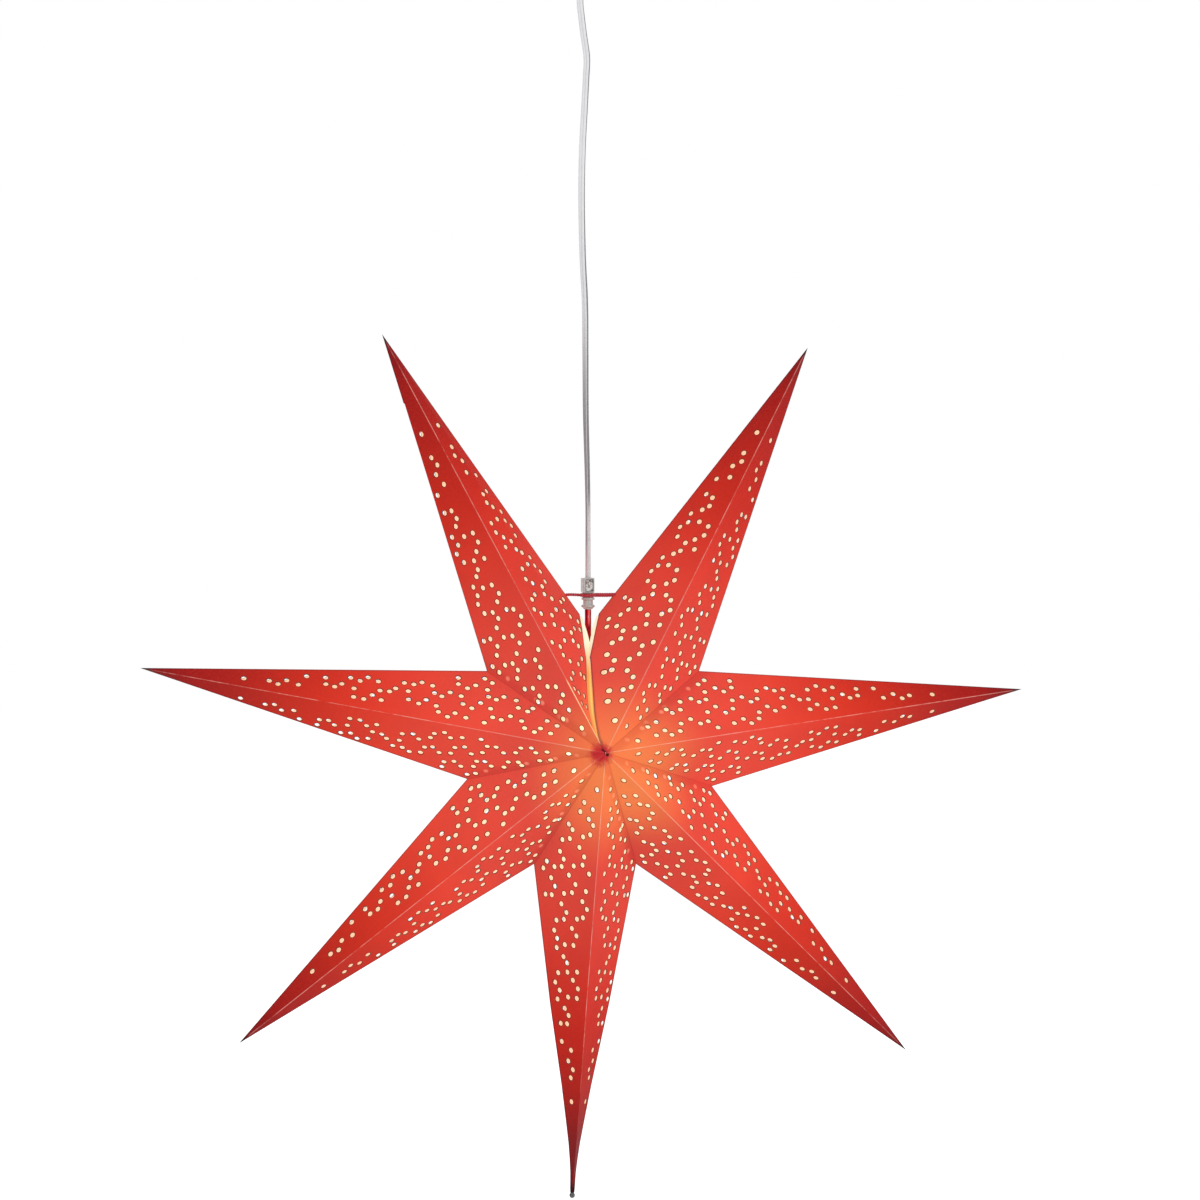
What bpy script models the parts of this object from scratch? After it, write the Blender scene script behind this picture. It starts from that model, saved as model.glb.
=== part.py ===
"""A seven-pointed paper star lantern that hangs on its flex from a small ceiling cup.

Metres, +Z up. The origin is the middle of the ceiling plate's flat top. The star faces -Y.
"""

import math

import bmesh
import bpy
from mathutils import Matrix, Vector

# The star: seven folded cards, each with two front faces and two back faces.
point_radius = 0.350
corner_radius = 0.1005
apex_depth = 0.062
card = 0.0004
glue_gap = 0.0003
apex_opening = 0.0018
# Bearings are turned from straight down towards +X, in degrees, as the star hangs.
point_bearings_deg = (-153.0, -100.6, -50.7, -2.4, 45.8, 96.3, 150.8)
seam_bearing_deg = 181.3

# The seam between the first and the last card is open at the top.
seam_corner_radius = 0.1077
seam_half_gap = 0.0097
seam_bend_radius = 0.0700
seam_bend_half_gap = 0.0018
seam_root_half_gap = 0.0008
hem_width = 0.0045
hem_end_share = 0.55
hem_lean_share = 1.6
hem_inset = 0.0040

# The glue flap that each card lays under the next one.
flap_width = 0.0075
flap_apex_inset = 0.016
flap_corner_inset = 0.007
flap_bevel = 0.006
flap_clearance = 0.00035

# The round perforations, the same in every half face and mirrored about its ridge: how far along
# the ridge from the tip, as a share of the ridge, and how far out from the ridge, as a share of
# the half face's width at its corner.
perforation_radius = 0.0021
perforation_sides = 4
perforation_shares = (
    (0.219, 0.185),
    (0.334, 0.240),
    (0.444, 0.250),
    (0.498, 0.530),
    (0.613, 0.620),
    (0.658, 0.150),
    (0.705, 0.360),
    (0.800, 0.330),
)

# The bead crimped on the tip of the lowest card.
bead_radius = 0.0022
bead_mouth_radius = 0.0012
bead_arc_deg = (-75, 45)
bead_rings = 6

# The ceiling fitting.
plate_radius = 0.030
plate_thickness = 0.0020
plate_rim = 0.0090
plate_rim_wall = 0.0018
wire_hole_radius = 0.0050
wire_hole_offset = 0.0170
screw_offset = 0.0180
screw_shank_radius = 0.0019
screw_head_radius = 0.0038
screw_head_height = 0.0020
screw_length = 0.0160
screw_point_share = 0.35
screw_crown_share = 0.70
screw_slot_share = 0.20
cup_wall = 0.0015
cup_depth = 0.0440
cup_shoulder = 0.0120
cup_clearance = 0.0005
cup_floor_radius = 0.0130
side_screw_radius = 0.0016
side_screw_head_radius = 0.0030
side_screw_head_height = 0.0014
side_screw_drop = 0.0060
block_width = 0.0180
block_depth = 0.0110
block_height = 0.0120
block_bore_radius = 0.0017
block_pitch = 0.0090

# The strain relief is a ball that seats in the cup's floor, with a tapered boot below it.
ball_radius = 0.0070
ball_arc_deg = (75, -55)
ball_rings = 7
ball_seat_radius = 0.0056
boot_neck_radius = 0.0034
boot_neck_drop = 0.0092
boot_shoulder_radius = 0.0054
boot_tip_radius = 0.0038
boot_length = 0.0330
boot_ribs = 4
boot_rib_depth = 0.0006
boot_rib_share = 0.60
boot_groove_share = 0.90
boot_socket_depth = 0.0026
boot_socket_top = 0.0010
boot_mouth_flare = 0.0006

# The flex, drawn as a round tube of the flat cable's width.
cord_radius = 0.0024
cord_clearance = 0.00035
cord_drop = 0.4708
inner_cord_turn = 0.0035
fit_gap = 0.0003

# The clip that grips the flex and carries the star.
clip_over_corner = 0.0215
housing_width = 0.0098
housing_front = 0.0060
housing_back = 0.0046
housing_height = 0.0115
housing_edge = 0.0007
groove_height = 0.0038
groove_radius = 0.0040
collar_height = 0.0017
collar_radius = 0.0050
neck_height = 0.0034
neck_radius = 0.0038
flange_height = 0.0030
flange_radius = 0.0052
flange_edge = 0.0009
foot_height = 0.0008
foot_radius = 0.0036
jaw_width = 0.0056
jaw_height = 0.0086
jaw_recess = 0.0006
jaw_top_drop = 0.0015
jaw_ridges = 4
jaw_ridge_depth = 0.0004

# The string that ties the two end cards round the clip's groove.
string_radius = 0.0009
string_sides = 6
string_reach = 0.0052
stop_knot_radius = 0.0021
front_knot_radius = 0.0016
string_hole_radius = 0.0016

# The red sleeve on the flex, and the small-thread lampholder below it.
sleeve_wall = 0.0004
sleeve_length = 0.0280
nipple_radius = 0.0052
nipple_height = 0.0050
dome_height = 0.0130
holder_radius = 0.0135
holder_wall = 0.0014
holder_length = 0.0320
holder_mouth_bead = 0.0007
holder_mouth_height = 0.0028
insulator_drop = 0.0030
insulator_height = 0.0070
insulator_hole_radius = 0.0016
shell_inner_radius = 0.0070
shell_wall = 0.0005
shell_length = 0.0170
shell_flange_radius = 0.0098
holder_contact_radius = 0.0026
holder_contact_height = 0.0012
contact_crown_share = 0.60

# The small globe bulb.
lamp_clearance = 0.0004
lamp_cap_wall = 0.0004
lamp_cap_length = 0.0165
lamp_contact_radius = 0.0023
lamp_contact_height = 0.0012
lamp_shoulder = 0.0030
globe_radius = 0.0225
globe_wall = 0.0008
globe_neck_radius = 0.0058
globe_drop = 0.0330
stem_radius = 0.0046
stem_tip_radius = 0.0016
stem_length = 0.0240
filament_radius = 0.0004
filament_span = 0.0100
filament_rise = 0.0060

# How finely round shapes are drawn, and how far cutters overrun.
round_sides = 24
small_sides = 14
route_fineness = 12
globe_rings = 8
curve_steps = 5
weld = 0.000001
overrun = 0.0030
smooth_below = math.radians(40)

# Places down the axis, from the ceiling to the star's middle.
hang_shift = 0.0040
clip_offset = -0.0021
cup_floor_z = -cup_depth + cup_wall
ball_z = cup_floor_z + math.sqrt((ball_radius + fit_gap) ** 2 - ball_seat_radius**2)
boot_tip_z = ball_z - boot_length
cord_top_z = boot_tip_z + boot_socket_depth - boot_socket_top
clip_top_z = cord_top_z - cord_drop
star_z = clip_top_z - clip_over_corner - seam_corner_radius
clip_x = hang_shift + clip_offset
groove_top_z = clip_top_z - housing_height
string_z = groove_top_z - groove_height / 2
collar_top_z = groove_top_z - groove_height
neck_top_z = collar_top_z - collar_height
flange_top_z = neck_top_z - neck_height
foot_top_z = flange_top_z - flange_height
foot_z = foot_top_z - foot_height
sleeve_top_z = foot_z - fit_gap
holder_top_z = sleeve_top_z - sleeve_length - fit_gap
dome_foot_z = holder_top_z - nipple_height - dome_height
holder_body_z = dome_foot_z - fit_gap
holder_mouth_z = holder_body_z - holder_length
insulator_top_z = holder_body_z - insulator_drop
insulator_foot_z = insulator_top_z - insulator_height
holder_contact_foot_z = insulator_foot_z - fit_gap - holder_contact_height
lamp_contact_top_z = holder_contact_foot_z - fit_gap
lamp_cap_top_z = lamp_contact_top_z - lamp_contact_height
lamp_cap_foot_z = lamp_cap_top_z - lamp_cap_length
globe_z = lamp_cap_foot_z - globe_drop
bore_radius = cord_radius + cord_clearance
lamp_cap_radius = shell_inner_radius - lamp_clearance

# The free flex's route: x, y and the drop below its top end.
cord_route = (
    (0.0000, 0.0000, 0.000),
    (0.0000, 0.0000, 0.010),
    (-0.0020, 0.0004, 0.020),
    (-0.0041, 0.0008, 0.031),
    (-0.0028, 0.0009, 0.045),
    (-0.0010, 0.0006, 0.059),
    (0.0011, 0.0000, 0.075),
    (0.0004, -0.0004, 0.090),
    (-0.0009, -0.0008, 0.113),
    (-0.0026, -0.0008, 0.145),
    (-0.0031, -0.0004, 0.180),
    (-0.0022, 0.0000, 0.225),
    (-0.0004, 0.0003, 0.260),
    (0.0000, 0.0004, 0.300),
    (0.0003, 0.0003, 0.345),
    (0.0014, 0.0001, 0.390),
    (0.0019, 0.0000, 0.420),
    (0.0019, 0.0000, 0.460),
)
cord_steps = 48
inner_cord_steps = 8
filament_steps = 20

for old in list(bpy.data.objects):
    bpy.data.objects.remove(old, do_unlink=True)


# Looks and small helpers.
def finish(name, colour, roughness, metallic=0.0, alpha=1.0):
    look = bpy.data.materials.new(name)
    look.use_nodes = True
    shader = look.node_tree.nodes["Principled BSDF"]
    shader.inputs["Base Color"].default_value = (*colour, 1.0)
    shader.inputs["Roughness"].default_value = roughness
    shader.inputs["Metallic"].default_value = metallic
    shader.inputs["Alpha"].default_value = alpha
    return look


def add(name, bm, look, smooth=True):
    """Turns a bmesh into the named object."""
    mesh = bpy.data.meshes.new(name)
    bm.to_mesh(mesh)
    bm.free()
    if smooth:
        mesh.shade_smooth()
        mesh.set_sharp_from_angle(angle=smooth_below)
    mesh.materials.append(look)
    obj = bpy.data.objects.new(name, mesh)
    bpy.context.scene.collection.objects.link(obj)
    return obj


def helper(name, bm):
    """A shape that only cuts or joins: it stays out of the model."""
    mesh = bpy.data.meshes.new(name)
    bm.to_mesh(mesh)
    bm.free()
    obj = bpy.data.objects.new(name, mesh)
    obj.hide_render = True
    obj.display_type = "WIRE"
    bpy.context.scene.collection.objects.link(obj)
    return obj


def combine(obj, other, operation):
    step = obj.modifiers.new(other.name, "BOOLEAN")
    step.operation = operation
    step.solver = "EXACT"
    step.object = other


def pivot(name, place, parent=None):
    """An empty on a joint's axis, which carries the pieces that turn or slide there."""
    empty = bpy.data.objects.new(name, None)
    bpy.context.scene.collection.objects.link(empty)
    empty.location = place
    if parent:
        empty.parent = parent
        empty.location = place - world_of(parent)
    return empty


def world_of(empty):
    place = Vector(empty.location)
    while empty.parent:
        empty = empty.parent
        place += empty.location
    return place


def carry(obj, empty):
    """Gives the object its origin on the empty's axis, with its shape left in place."""
    obj.data.transform(Matrix.Translation(-world_of(empty)))
    obj.parent = empty


def turned(outline, centre, sides=round_sides):
    """Spins a closed outline of (radius, height) pairs about the upright line through centre."""
    bm = bmesh.new()
    ring = [bm.verts.new(centre + Vector((radius, 0, height))) for radius, height in outline]
    edges = []
    for start, end in zip(range(len(ring)), [*range(1, len(ring)), 0]):
        if outline[start][0] > 0 or outline[end][0] > 0:
            edges.append(bm.edges.new((ring[start], ring[end])))
    bmesh.ops.spin(
        bm, geom=ring + edges, cent=centre, axis=(0, 0, 1), angle=math.tau, steps=sides, use_merge=True
    )
    bmesh.ops.remove_doubles(bm, verts=bm.verts, dist=weld)
    bmesh.ops.recalc_face_normals(bm, faces=bm.faces)
    return bm


def box(low, high, edge=0.0, segments=1):
    """A block between two corners, with its edges rounded where edge is given."""
    bm = bmesh.new()
    size = Vector(high) - Vector(low)
    middle = (Vector(high) + Vector(low)) / 2
    bmesh.ops.create_cube(bm, size=1.0, matrix=Matrix.Translation(middle) @ Matrix.Diagonal((*size, 1.0)))
    if edge:
        bmesh.ops.bevel(
            bm, geom=bm.edges, offset=edge, segments=segments, profile=0.5, affect="EDGES", material=-1
        )
    return bm


def rod(start, end, radius, sides=small_sides):
    """A straight round bar between two places."""
    start, end = Vector(start), Vector(end)
    along = end - start
    turn = along.to_track_quat("Z", "Y").to_matrix().to_4x4()
    bm = bmesh.new()
    bmesh.ops.create_cone(
        bm,
        cap_ends=True,
        segments=sides,
        radius1=radius,
        radius2=radius,
        depth=along.length,
        matrix=Matrix.Translation((start + end) / 2) @ turn,
    )
    return bm


def quarter(steps):
    """Cosine and sine pairs of a quarter turn."""
    angles = [math.pi / 2 * step / steps for step in range(steps + 1)]
    return [(math.cos(angle), math.sin(angle)) for angle in angles]


def arc(centre_radius, centre_height, radius, start_deg, end_deg, steps):
    """Points of an arc in a turned outline."""
    points = []
    for step in range(steps + 1):
        angle = math.radians(start_deg + (end_deg - start_deg) * step / steps)
        points.append((centre_radius + radius * math.cos(angle), centre_height + radius * math.sin(angle)))
    return points


def smooth_route(points, count):
    """Even places along the smooth curve through the given points."""
    ends = [2 * points[0] - points[1], *points, 2 * points[-1] - points[-2]]
    fine = []
    for a, b, c, d in zip(ends, ends[1:], ends[2:], ends[3:]):
        for step in range(route_fineness):
            t = step / route_fineness
            bend = (2 * a - 5 * b + 4 * c - d) * t**2
            swing = (3 * b - a - 3 * c + d) * t**3
            fine.append((2 * b + (c - a) * t + bend + swing) / 2)
    fine.append(points[-1])
    lengths = [0.0]
    for first, second in zip(fine, fine[1:]):
        lengths.append(lengths[-1] + (second - first).length)
    even = []
    at = 0
    for step in range(count + 1):
        want = lengths[-1] * step / count
        while at < len(fine) - 2 and lengths[at + 1] < want:
            at += 1
        share = (want - lengths[at]) / (lengths[at + 1] - lengths[at])
        even.append(fine[at].lerp(fine[at + 1], share))
    return even


def tube(name, places, radius, look, resolution=2):
    curve = bpy.data.curves.new(name, "CURVE")
    curve.dimensions = "3D"
    curve.bevel_depth = radius
    curve.bevel_resolution = resolution
    curve.use_fill_caps = True
    spline = curve.splines.new("POLY")
    spline.points.add(len(places) - 1)
    for point, place in zip(spline.points, places):
        point.co = (*place, 1.0)
    curve.materials.append(look)
    obj = bpy.data.objects.new(name, curve)
    bpy.context.scene.collection.objects.link(obj)
    return obj


# Pivots, from the ceiling down.
origin = Vector((0, 0, 0))
clip_axis = Vector((clip_x, 0, 0))
star_centre = Vector((hang_shift, 0, star_z))
swing_fore = pivot("swing_fore_axis", Vector((0, 0, ball_z)))
swing_side = pivot("swing_side_axis", Vector((0, 0, cord_top_z)), swing_fore)
clip_slide = pivot("clip_slide_axis", Vector((clip_x, 0, clip_top_z)), swing_side)
jaw_slide = pivot("clip_jaw_axis", Vector((clip_x, 0, clip_top_z - jaw_top_drop)), clip_slide)
star_turn = pivot("star_turn_axis", Vector((clip_x, 0, string_z)), clip_slide)
star_nod = pivot("star_nod_axis", Vector((clip_x, 0, string_z)), star_turn)
lamp_travel = pivot("bulb_travel_axis", Vector((clip_x, 0, lamp_contact_top_z)), swing_side)
lamp_turn = pivot("bulb_turn_axis", Vector((clip_x, 0, lamp_cap_top_z)), lamp_travel)


# Ceiling fitting.
def ceiling_plate():
    look = finish("zinc_plate", (0.62, 0.63, 0.64), 0.35, 0.9)
    outline = [
        (0, 0),
        (plate_radius, 0),
        (plate_radius, -plate_rim),
        (plate_radius - plate_rim_wall, -plate_rim),
        (plate_radius - plate_rim_wall, -plate_thickness),
        (0, -plate_thickness),
    ]
    plate = add("ceiling_plate", turned(outline, origin), look)
    for side in (-1, 1):
        at = side * screw_offset
        hole = rod((at, 0, overrun), (at, 0, -plate_thickness - overrun), screw_shank_radius + fit_gap)
        combine(plate, helper(f"plate_hole_{side}", hole), "DIFFERENCE")
    at = wire_hole_offset
    hole = rod((0, at, overrun), (0, at, -plate_thickness - overrun), wire_hole_radius)
    combine(plate, helper("plate_wire_hole", hole), "DIFFERENCE")
    for side in (-1, 1):
        hole = rod(
            (0, side * (plate_radius + overrun), -side_screw_drop),
            (0, side * (plate_radius - plate_rim_wall - overrun), -side_screw_drop),
            side_screw_radius + fit_gap,
        )
        combine(plate, helper(f"plate_side_hole_{side}", hole), "DIFFERENCE")


def plate_screws():
    look = finish("zinc_screw", (0.7, 0.7, 0.71), 0.3, 1.0)
    head_z = -plate_thickness - fit_gap
    slot = screw_head_height * screw_slot_share
    outline = [
        (0, screw_length),
        (screw_shank_radius * screw_point_share, screw_length),
        (screw_shank_radius, screw_length - screw_shank_radius),
        (screw_shank_radius, head_z),
        (screw_head_radius, head_z),
        (screw_head_radius, head_z - screw_head_height / 2),
        (screw_head_radius * screw_crown_share, head_z - screw_head_height),
        (0, head_z - screw_head_height),
    ]
    for side, name in ((-1, "plate_screw_left"), (1, "plate_screw_right")):
        centre = Vector((side * screw_offset, 0, 0))
        screw = add(name, turned(outline, centre, small_sides), look)
        groove = box(
            centre + Vector((-screw_head_radius, -slot, head_z - screw_head_height - overrun)),
            centre + Vector((screw_head_radius, slot, head_z - screw_head_height / 2)),
        )
        combine(screw, helper(f"{name}_slot", groove), "DIFFERENCE")


def ceiling_cup():
    look = finish("white_cup", (0.86, 0.86, 0.84), 0.4)
    inner = plate_radius + cup_clearance
    outer = inner + cup_wall
    rim_z = -cup_clearance
    wall_foot_z = -cup_depth + cup_shoulder
    shoulder = []
    lining = []
    for across, down in quarter(curve_steps):
        shoulder.append(
            (cup_floor_radius + (outer - cup_floor_radius) * across, wall_foot_z - cup_shoulder * down)
        )
        lining.append(
            (
                cup_floor_radius + (inner - cup_floor_radius) * across,
                wall_foot_z - (cup_shoulder - cup_wall) * down,
            )
        )
    outline = [
        (outer, rim_z),
        *shoulder,
        (ball_seat_radius, -cup_depth),
        (ball_seat_radius, cup_floor_z),
        *reversed(lining),
        (inner, rim_z),
    ]
    cup = add("ceiling_cup", turned(outline, origin), look)
    for side in (-1, 1):
        hole = rod(
            (0, side * (outer + overrun), -side_screw_drop),
            (0, side * (inner - overrun), -side_screw_drop),
            side_screw_radius + fit_gap,
        )
        combine(cup, helper(f"cup_side_hole_{side}", hole), "DIFFERENCE")


def cup_screws():
    look = finish("white_screw", (0.8, 0.8, 0.79), 0.4)
    seat = plate_radius + cup_clearance + cup_wall + fit_gap
    outline = [
        (0, -plate_rim_wall - cup_wall - overrun),
        (side_screw_radius, -plate_rim_wall - cup_wall - overrun),
        (side_screw_radius, 0),
        (side_screw_head_radius, 0),
        (side_screw_head_radius, side_screw_head_height / 2),
        (side_screw_head_radius * screw_crown_share, side_screw_head_height),
        (0, side_screw_head_height),
    ]
    for side, name in ((-1, "cup_screw_front"), (1, "cup_screw_back")):
        bm = turned(outline, origin, small_sides)
        lay = Matrix.Rotation(math.radians(-90 * side), 4, "X")
        place = Matrix.Translation((0, side * seat, -side_screw_drop))
        bmesh.ops.transform(bm, matrix=place @ lay, verts=bm.verts)
        add(name, bm, look)


def terminal_block():
    look = finish("terminal_plastic", (0.78, 0.77, 0.72), 0.5)
    top = -plate_thickness - fit_gap
    low = (-block_width / 2, -block_depth / 2, top - block_height)
    high = (block_width / 2, block_depth / 2, top)
    block = add("terminal_block", box(low, high, housing_edge), look, False)
    for side in (-1, 1):
        at = side * block_pitch / 2
        wire = rod(
            (at, -block_depth / 2 - overrun, top - block_height / 2),
            (at, block_depth / 2 + overrun, top - block_height / 2),
            block_bore_radius,
        )
        combine(block, helper(f"block_bore_{side}", wire), "DIFFERENCE")
        well = rod((at, 0, top - block_height - overrun), (at, 0, top - block_height / 2), block_bore_radius)
        combine(block, helper(f"block_well_{side}", well), "DIFFERENCE")


def inner_cord():
    """The end of the flex inside the cup, from the terminal block down to the ball."""
    look = finish("inner_flex", (0.84, 0.84, 0.83), 0.4)
    top = -plate_thickness - block_height - 2 * fit_gap
    foot = ball_z + ball_radius + fit_gap
    rise = top - foot
    route = [
        Vector((0, 0, top)),
        Vector((0, 0, top - rise / 4)),
        Vector((inner_cord_turn / 2, 0, top - rise / 2)),
        Vector((0, 0, foot + rise / 4)),
        Vector((0, 0, foot)),
    ]
    tube("inner_cord", smooth_route(route, inner_cord_steps), cord_radius, look)


def strain_relief():
    look = finish("boot_rubber", (0.82, 0.82, 0.80), 0.55)
    shoulder_z = -boot_neck_drop
    tip_z = -boot_length
    socket_z = tip_z + boot_socket_depth
    outline = [(0, ball_radius), *arc(0, 0, ball_radius, *ball_arc_deg, ball_rings)]
    outline.append((boot_neck_radius, -math.sqrt(ball_radius**2 - boot_neck_radius**2)))
    outline.append((boot_neck_radius, shoulder_z + boot_rib_depth))
    taper = (boot_shoulder_radius - boot_tip_radius) / boot_ribs
    pitch = (shoulder_z - tip_z) / boot_ribs
    for rib in range(boot_ribs):
        radius = boot_shoulder_radius - taper * rib
        top = shoulder_z - pitch * rib
        outline.append((radius, top))
        outline.append((radius - taper / 2, top - pitch * boot_rib_share))
        if rib < boot_ribs - 1:
            groove = radius - taper / 2 - boot_rib_depth
            outline.append((groove, top - pitch * (boot_rib_share + boot_groove_share) / 2))
            outline.append((groove, top - pitch * boot_groove_share))
    outline += [
        (boot_tip_radius, tip_z),
        (bore_radius + boot_mouth_flare, tip_z),
        (bore_radius, socket_z - boot_socket_top),
        (bore_radius, socket_z),
        (0, socket_z),
    ]
    boot = add("strain_relief", turned(outline, Vector((0, 0, ball_z)), small_sides), look)
    carry(boot, swing_fore)


# Flex, sleeve and lampholder.
def pendant_cord():
    look = finish("clear_flex", (0.83, 0.83, 0.83), 0.25)
    end_z = holder_top_z - nipple_height
    route = [Vector((x, y, cord_top_z - drop)) for x, y, drop in cord_route]
    route.append(Vector((clip_x, 0, (clip_top_z + end_z) / 2)))
    route.append(Vector((clip_x, 0, end_z)))
    cord = tube("pendant_cord", smooth_route(route, cord_steps), cord_radius, look)
    carry(cord, swing_side)


def cord_sleeve():
    look = finish("red_sleeve", (0.55, 0.01, 0.03), 0.35)
    inner = bore_radius
    outer = inner + sleeve_wall
    outline = [(inner, 0), (outer, 0), (outer, -sleeve_length), (inner, -sleeve_length)]
    centre = clip_axis + Vector((0, 0, sleeve_top_z))
    sleeve = add("cord_sleeve", turned(outline, centre, small_sides), look)
    carry(sleeve, swing_side)


def holder_cap():
    look = finish("holder_plastic", (0.85, 0.85, 0.82), 0.4)
    foot = -nipple_height - dome_height
    rise = holder_radius - nipple_radius
    outer = []
    inner = []
    for across, up in reversed(quarter(curve_steps)):
        outer.append((nipple_radius + rise * across, foot + dome_height * up))
        inner_top = foot + (dome_height - holder_wall) * up
        inner.append((nipple_radius + (rise - holder_wall) * across, inner_top))
    outline = [
        (bore_radius, 0),
        (nipple_radius, 0),
        *outer,
        *reversed(inner),
        (bore_radius, -nipple_height - holder_wall),
    ]
    centre = clip_axis + Vector((0, 0, holder_top_z))
    cap = add("holder_cap", turned(outline, centre), look)
    carry(cap, swing_side)


def holder_body():
    look = finish("holder_plastic_body", (0.85, 0.85, 0.82), 0.4)
    inner = holder_radius - holder_wall
    ledge = insulator_drop + insulator_height + fit_gap
    foot = -holder_length
    outline = [
        (holder_radius, 0),
        (holder_radius, foot + holder_mouth_height),
        (holder_radius + holder_mouth_bead, foot + holder_mouth_height - holder_mouth_bead),
        (holder_radius + holder_mouth_bead, foot + holder_mouth_bead),
        (holder_radius, foot),
        (inner, foot),
        (inner, -ledge - holder_wall),
        (inner - holder_wall, -ledge - holder_wall),
        (inner - holder_wall, -ledge),
        (inner, -ledge),
        (inner, 0),
    ]
    centre = clip_axis + Vector((0, 0, holder_body_z))
    shell = add("holder_body", turned(outline, centre), look)
    carry(shell, swing_side)


def holder_insulator():
    look = finish("holder_ceramic", (0.8, 0.79, 0.75), 0.5)
    radius = holder_radius - holder_wall - fit_gap
    outline = [(0, 0), (radius, 0), (radius, -insulator_height), (0, -insulator_height)]
    centre = clip_axis + Vector((0, 0, insulator_top_z))
    disc = add("holder_insulator", turned(outline, centre), look)
    for side in (-1, 1):
        at = centre + Vector((side * radius / 2, 0, 0))
        rise = Vector((0, 0, overrun))
        hole = rod(at + rise, at - rise - Vector((0, 0, insulator_height)), insulator_hole_radius)
        combine(disc, helper(f"insulator_hole_{side}", hole), "DIFFERENCE")
    carry(disc, swing_side)


def holder_shell():
    look = finish("holder_brass", (0.72, 0.56, 0.3), 0.3, 1.0)
    outer = shell_inner_radius + shell_wall
    outline = [
        (shell_inner_radius, 0),
        (shell_flange_radius, 0),
        (shell_flange_radius, -shell_wall),
        (outer, -shell_wall),
        (outer, -shell_length),
        (shell_inner_radius, -shell_length),
    ]
    centre = clip_axis + Vector((0, 0, insulator_foot_z - fit_gap))
    shell = add("holder_shell", turned(outline, centre), look)
    carry(shell, swing_side)


def holder_contact():
    look = finish("contact_brass", (0.75, 0.6, 0.33), 0.3, 1.0)
    outline = [
        (0, 0),
        (holder_contact_radius, 0),
        (holder_contact_radius, -holder_contact_height / 2),
        (holder_contact_radius * contact_crown_share, -holder_contact_height),
        (0, -holder_contact_height),
    ]
    centre = clip_axis + Vector((0, 0, insulator_foot_z - fit_gap))
    contact = add("holder_contact", turned(outline, centre, small_sides), look)
    carry(contact, swing_side)


# Bulb.
def bulb_contact():
    look = finish("solder", (0.66, 0.66, 0.67), 0.35, 1.0)
    outline = [
        (0, 0),
        (lamp_contact_radius * contact_crown_share, 0),
        (lamp_contact_radius, -lamp_contact_height / 2),
        (lamp_contact_radius, -lamp_contact_height + fit_gap),
        (0, -lamp_contact_height + fit_gap),
    ]
    centre = clip_axis + Vector((0, 0, lamp_contact_top_z))
    contact = add("bulb_contact", turned(outline, centre, small_sides), look)
    carry(contact, lamp_travel)


def bulb_cap():
    look = finish("bulb_brass", (0.74, 0.6, 0.36), 0.28, 1.0)
    inner = lamp_cap_radius - lamp_cap_wall
    outline = [
        (0, 0),
        (lamp_contact_radius, 0),
        (lamp_cap_radius, -lamp_shoulder),
        (lamp_cap_radius, -lamp_cap_length),
        (inner, -lamp_cap_length),
        (inner, -lamp_shoulder - lamp_cap_wall),
        (lamp_contact_radius, -2 * lamp_cap_wall),
        (0, -2 * lamp_cap_wall),
    ]
    centre = clip_axis + Vector((0, 0, lamp_cap_top_z))
    cap = add("bulb_cap", turned(outline, centre), look)
    carry(cap, lamp_turn)


def bulb_glass():
    look = finish("bulb_glass", (0.96, 0.93, 0.86), 0.1, 0.0, 0.5)
    neck = globe_neck_radius
    lining = neck - globe_wall
    inner_radius = globe_radius - globe_wall
    neck_angle = math.degrees(math.acos(neck / globe_radius))
    lining_angle = math.degrees(math.acos(lining / inner_radius))
    neck_top = globe_drop + lamp_shoulder
    outer = arc(0, 0, globe_radius, neck_angle, -90, globe_rings)
    inner = arc(0, 0, inner_radius, -90, lining_angle, globe_rings)
    foot = [(0, -globe_radius), (0, -inner_radius)]
    outline = [(neck, neck_top), *outer[:-1], *foot, *inner[1:], (lining, neck_top)]
    centre = clip_axis + Vector((0, 0, globe_z))
    glass = add("bulb_glass", turned(outline, centre), look)
    carry(glass, lamp_turn)


def bulb_stem():
    look = finish("stem_glass", (0.9, 0.9, 0.88), 0.1, 0.0, 0.6)
    outline = [
        (0, 0),
        (stem_radius, 0),
        (stem_radius, -stem_radius / 2),
        (stem_tip_radius, -stem_length / 2),
        (stem_tip_radius, -stem_length),
        (0, -stem_length),
    ]
    centre = clip_axis + Vector((0, 0, globe_z + globe_drop + lamp_shoulder))
    stem = add("bulb_stem", turned(outline, centre, small_sides), look)
    carry(stem, lamp_turn)


def bulb_filament():
    """The glowing wire: two legs beside the stem's tip, and an arch between them below it."""
    look = finish("filament", (1.0, 0.75, 0.4), 0.4)
    top = globe_z + globe_drop + lamp_shoulder - stem_length + filament_rise
    leg = stem_tip_radius + fit_gap + filament_radius
    foot = top - 2 * filament_rise
    half = filament_span / 2
    route = [
        Vector((clip_x - leg, 0, top)),
        Vector((clip_x - leg, 0, top - filament_rise / 2)),
        Vector((clip_x - half, 0, foot + filament_rise / 2)),
        Vector((clip_x - half, 0, foot)),
        Vector((clip_x, 0, foot - filament_rise / 2)),
        Vector((clip_x + half, 0, foot)),
        Vector((clip_x + half, 0, foot + filament_rise / 2)),
        Vector((clip_x + leg, 0, top - filament_rise / 2)),
        Vector((clip_x + leg, 0, top)),
    ]
    filament = tube("bulb_filament", smooth_route(route, filament_steps), filament_radius, look, 1)
    carry(filament, lamp_turn)


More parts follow.
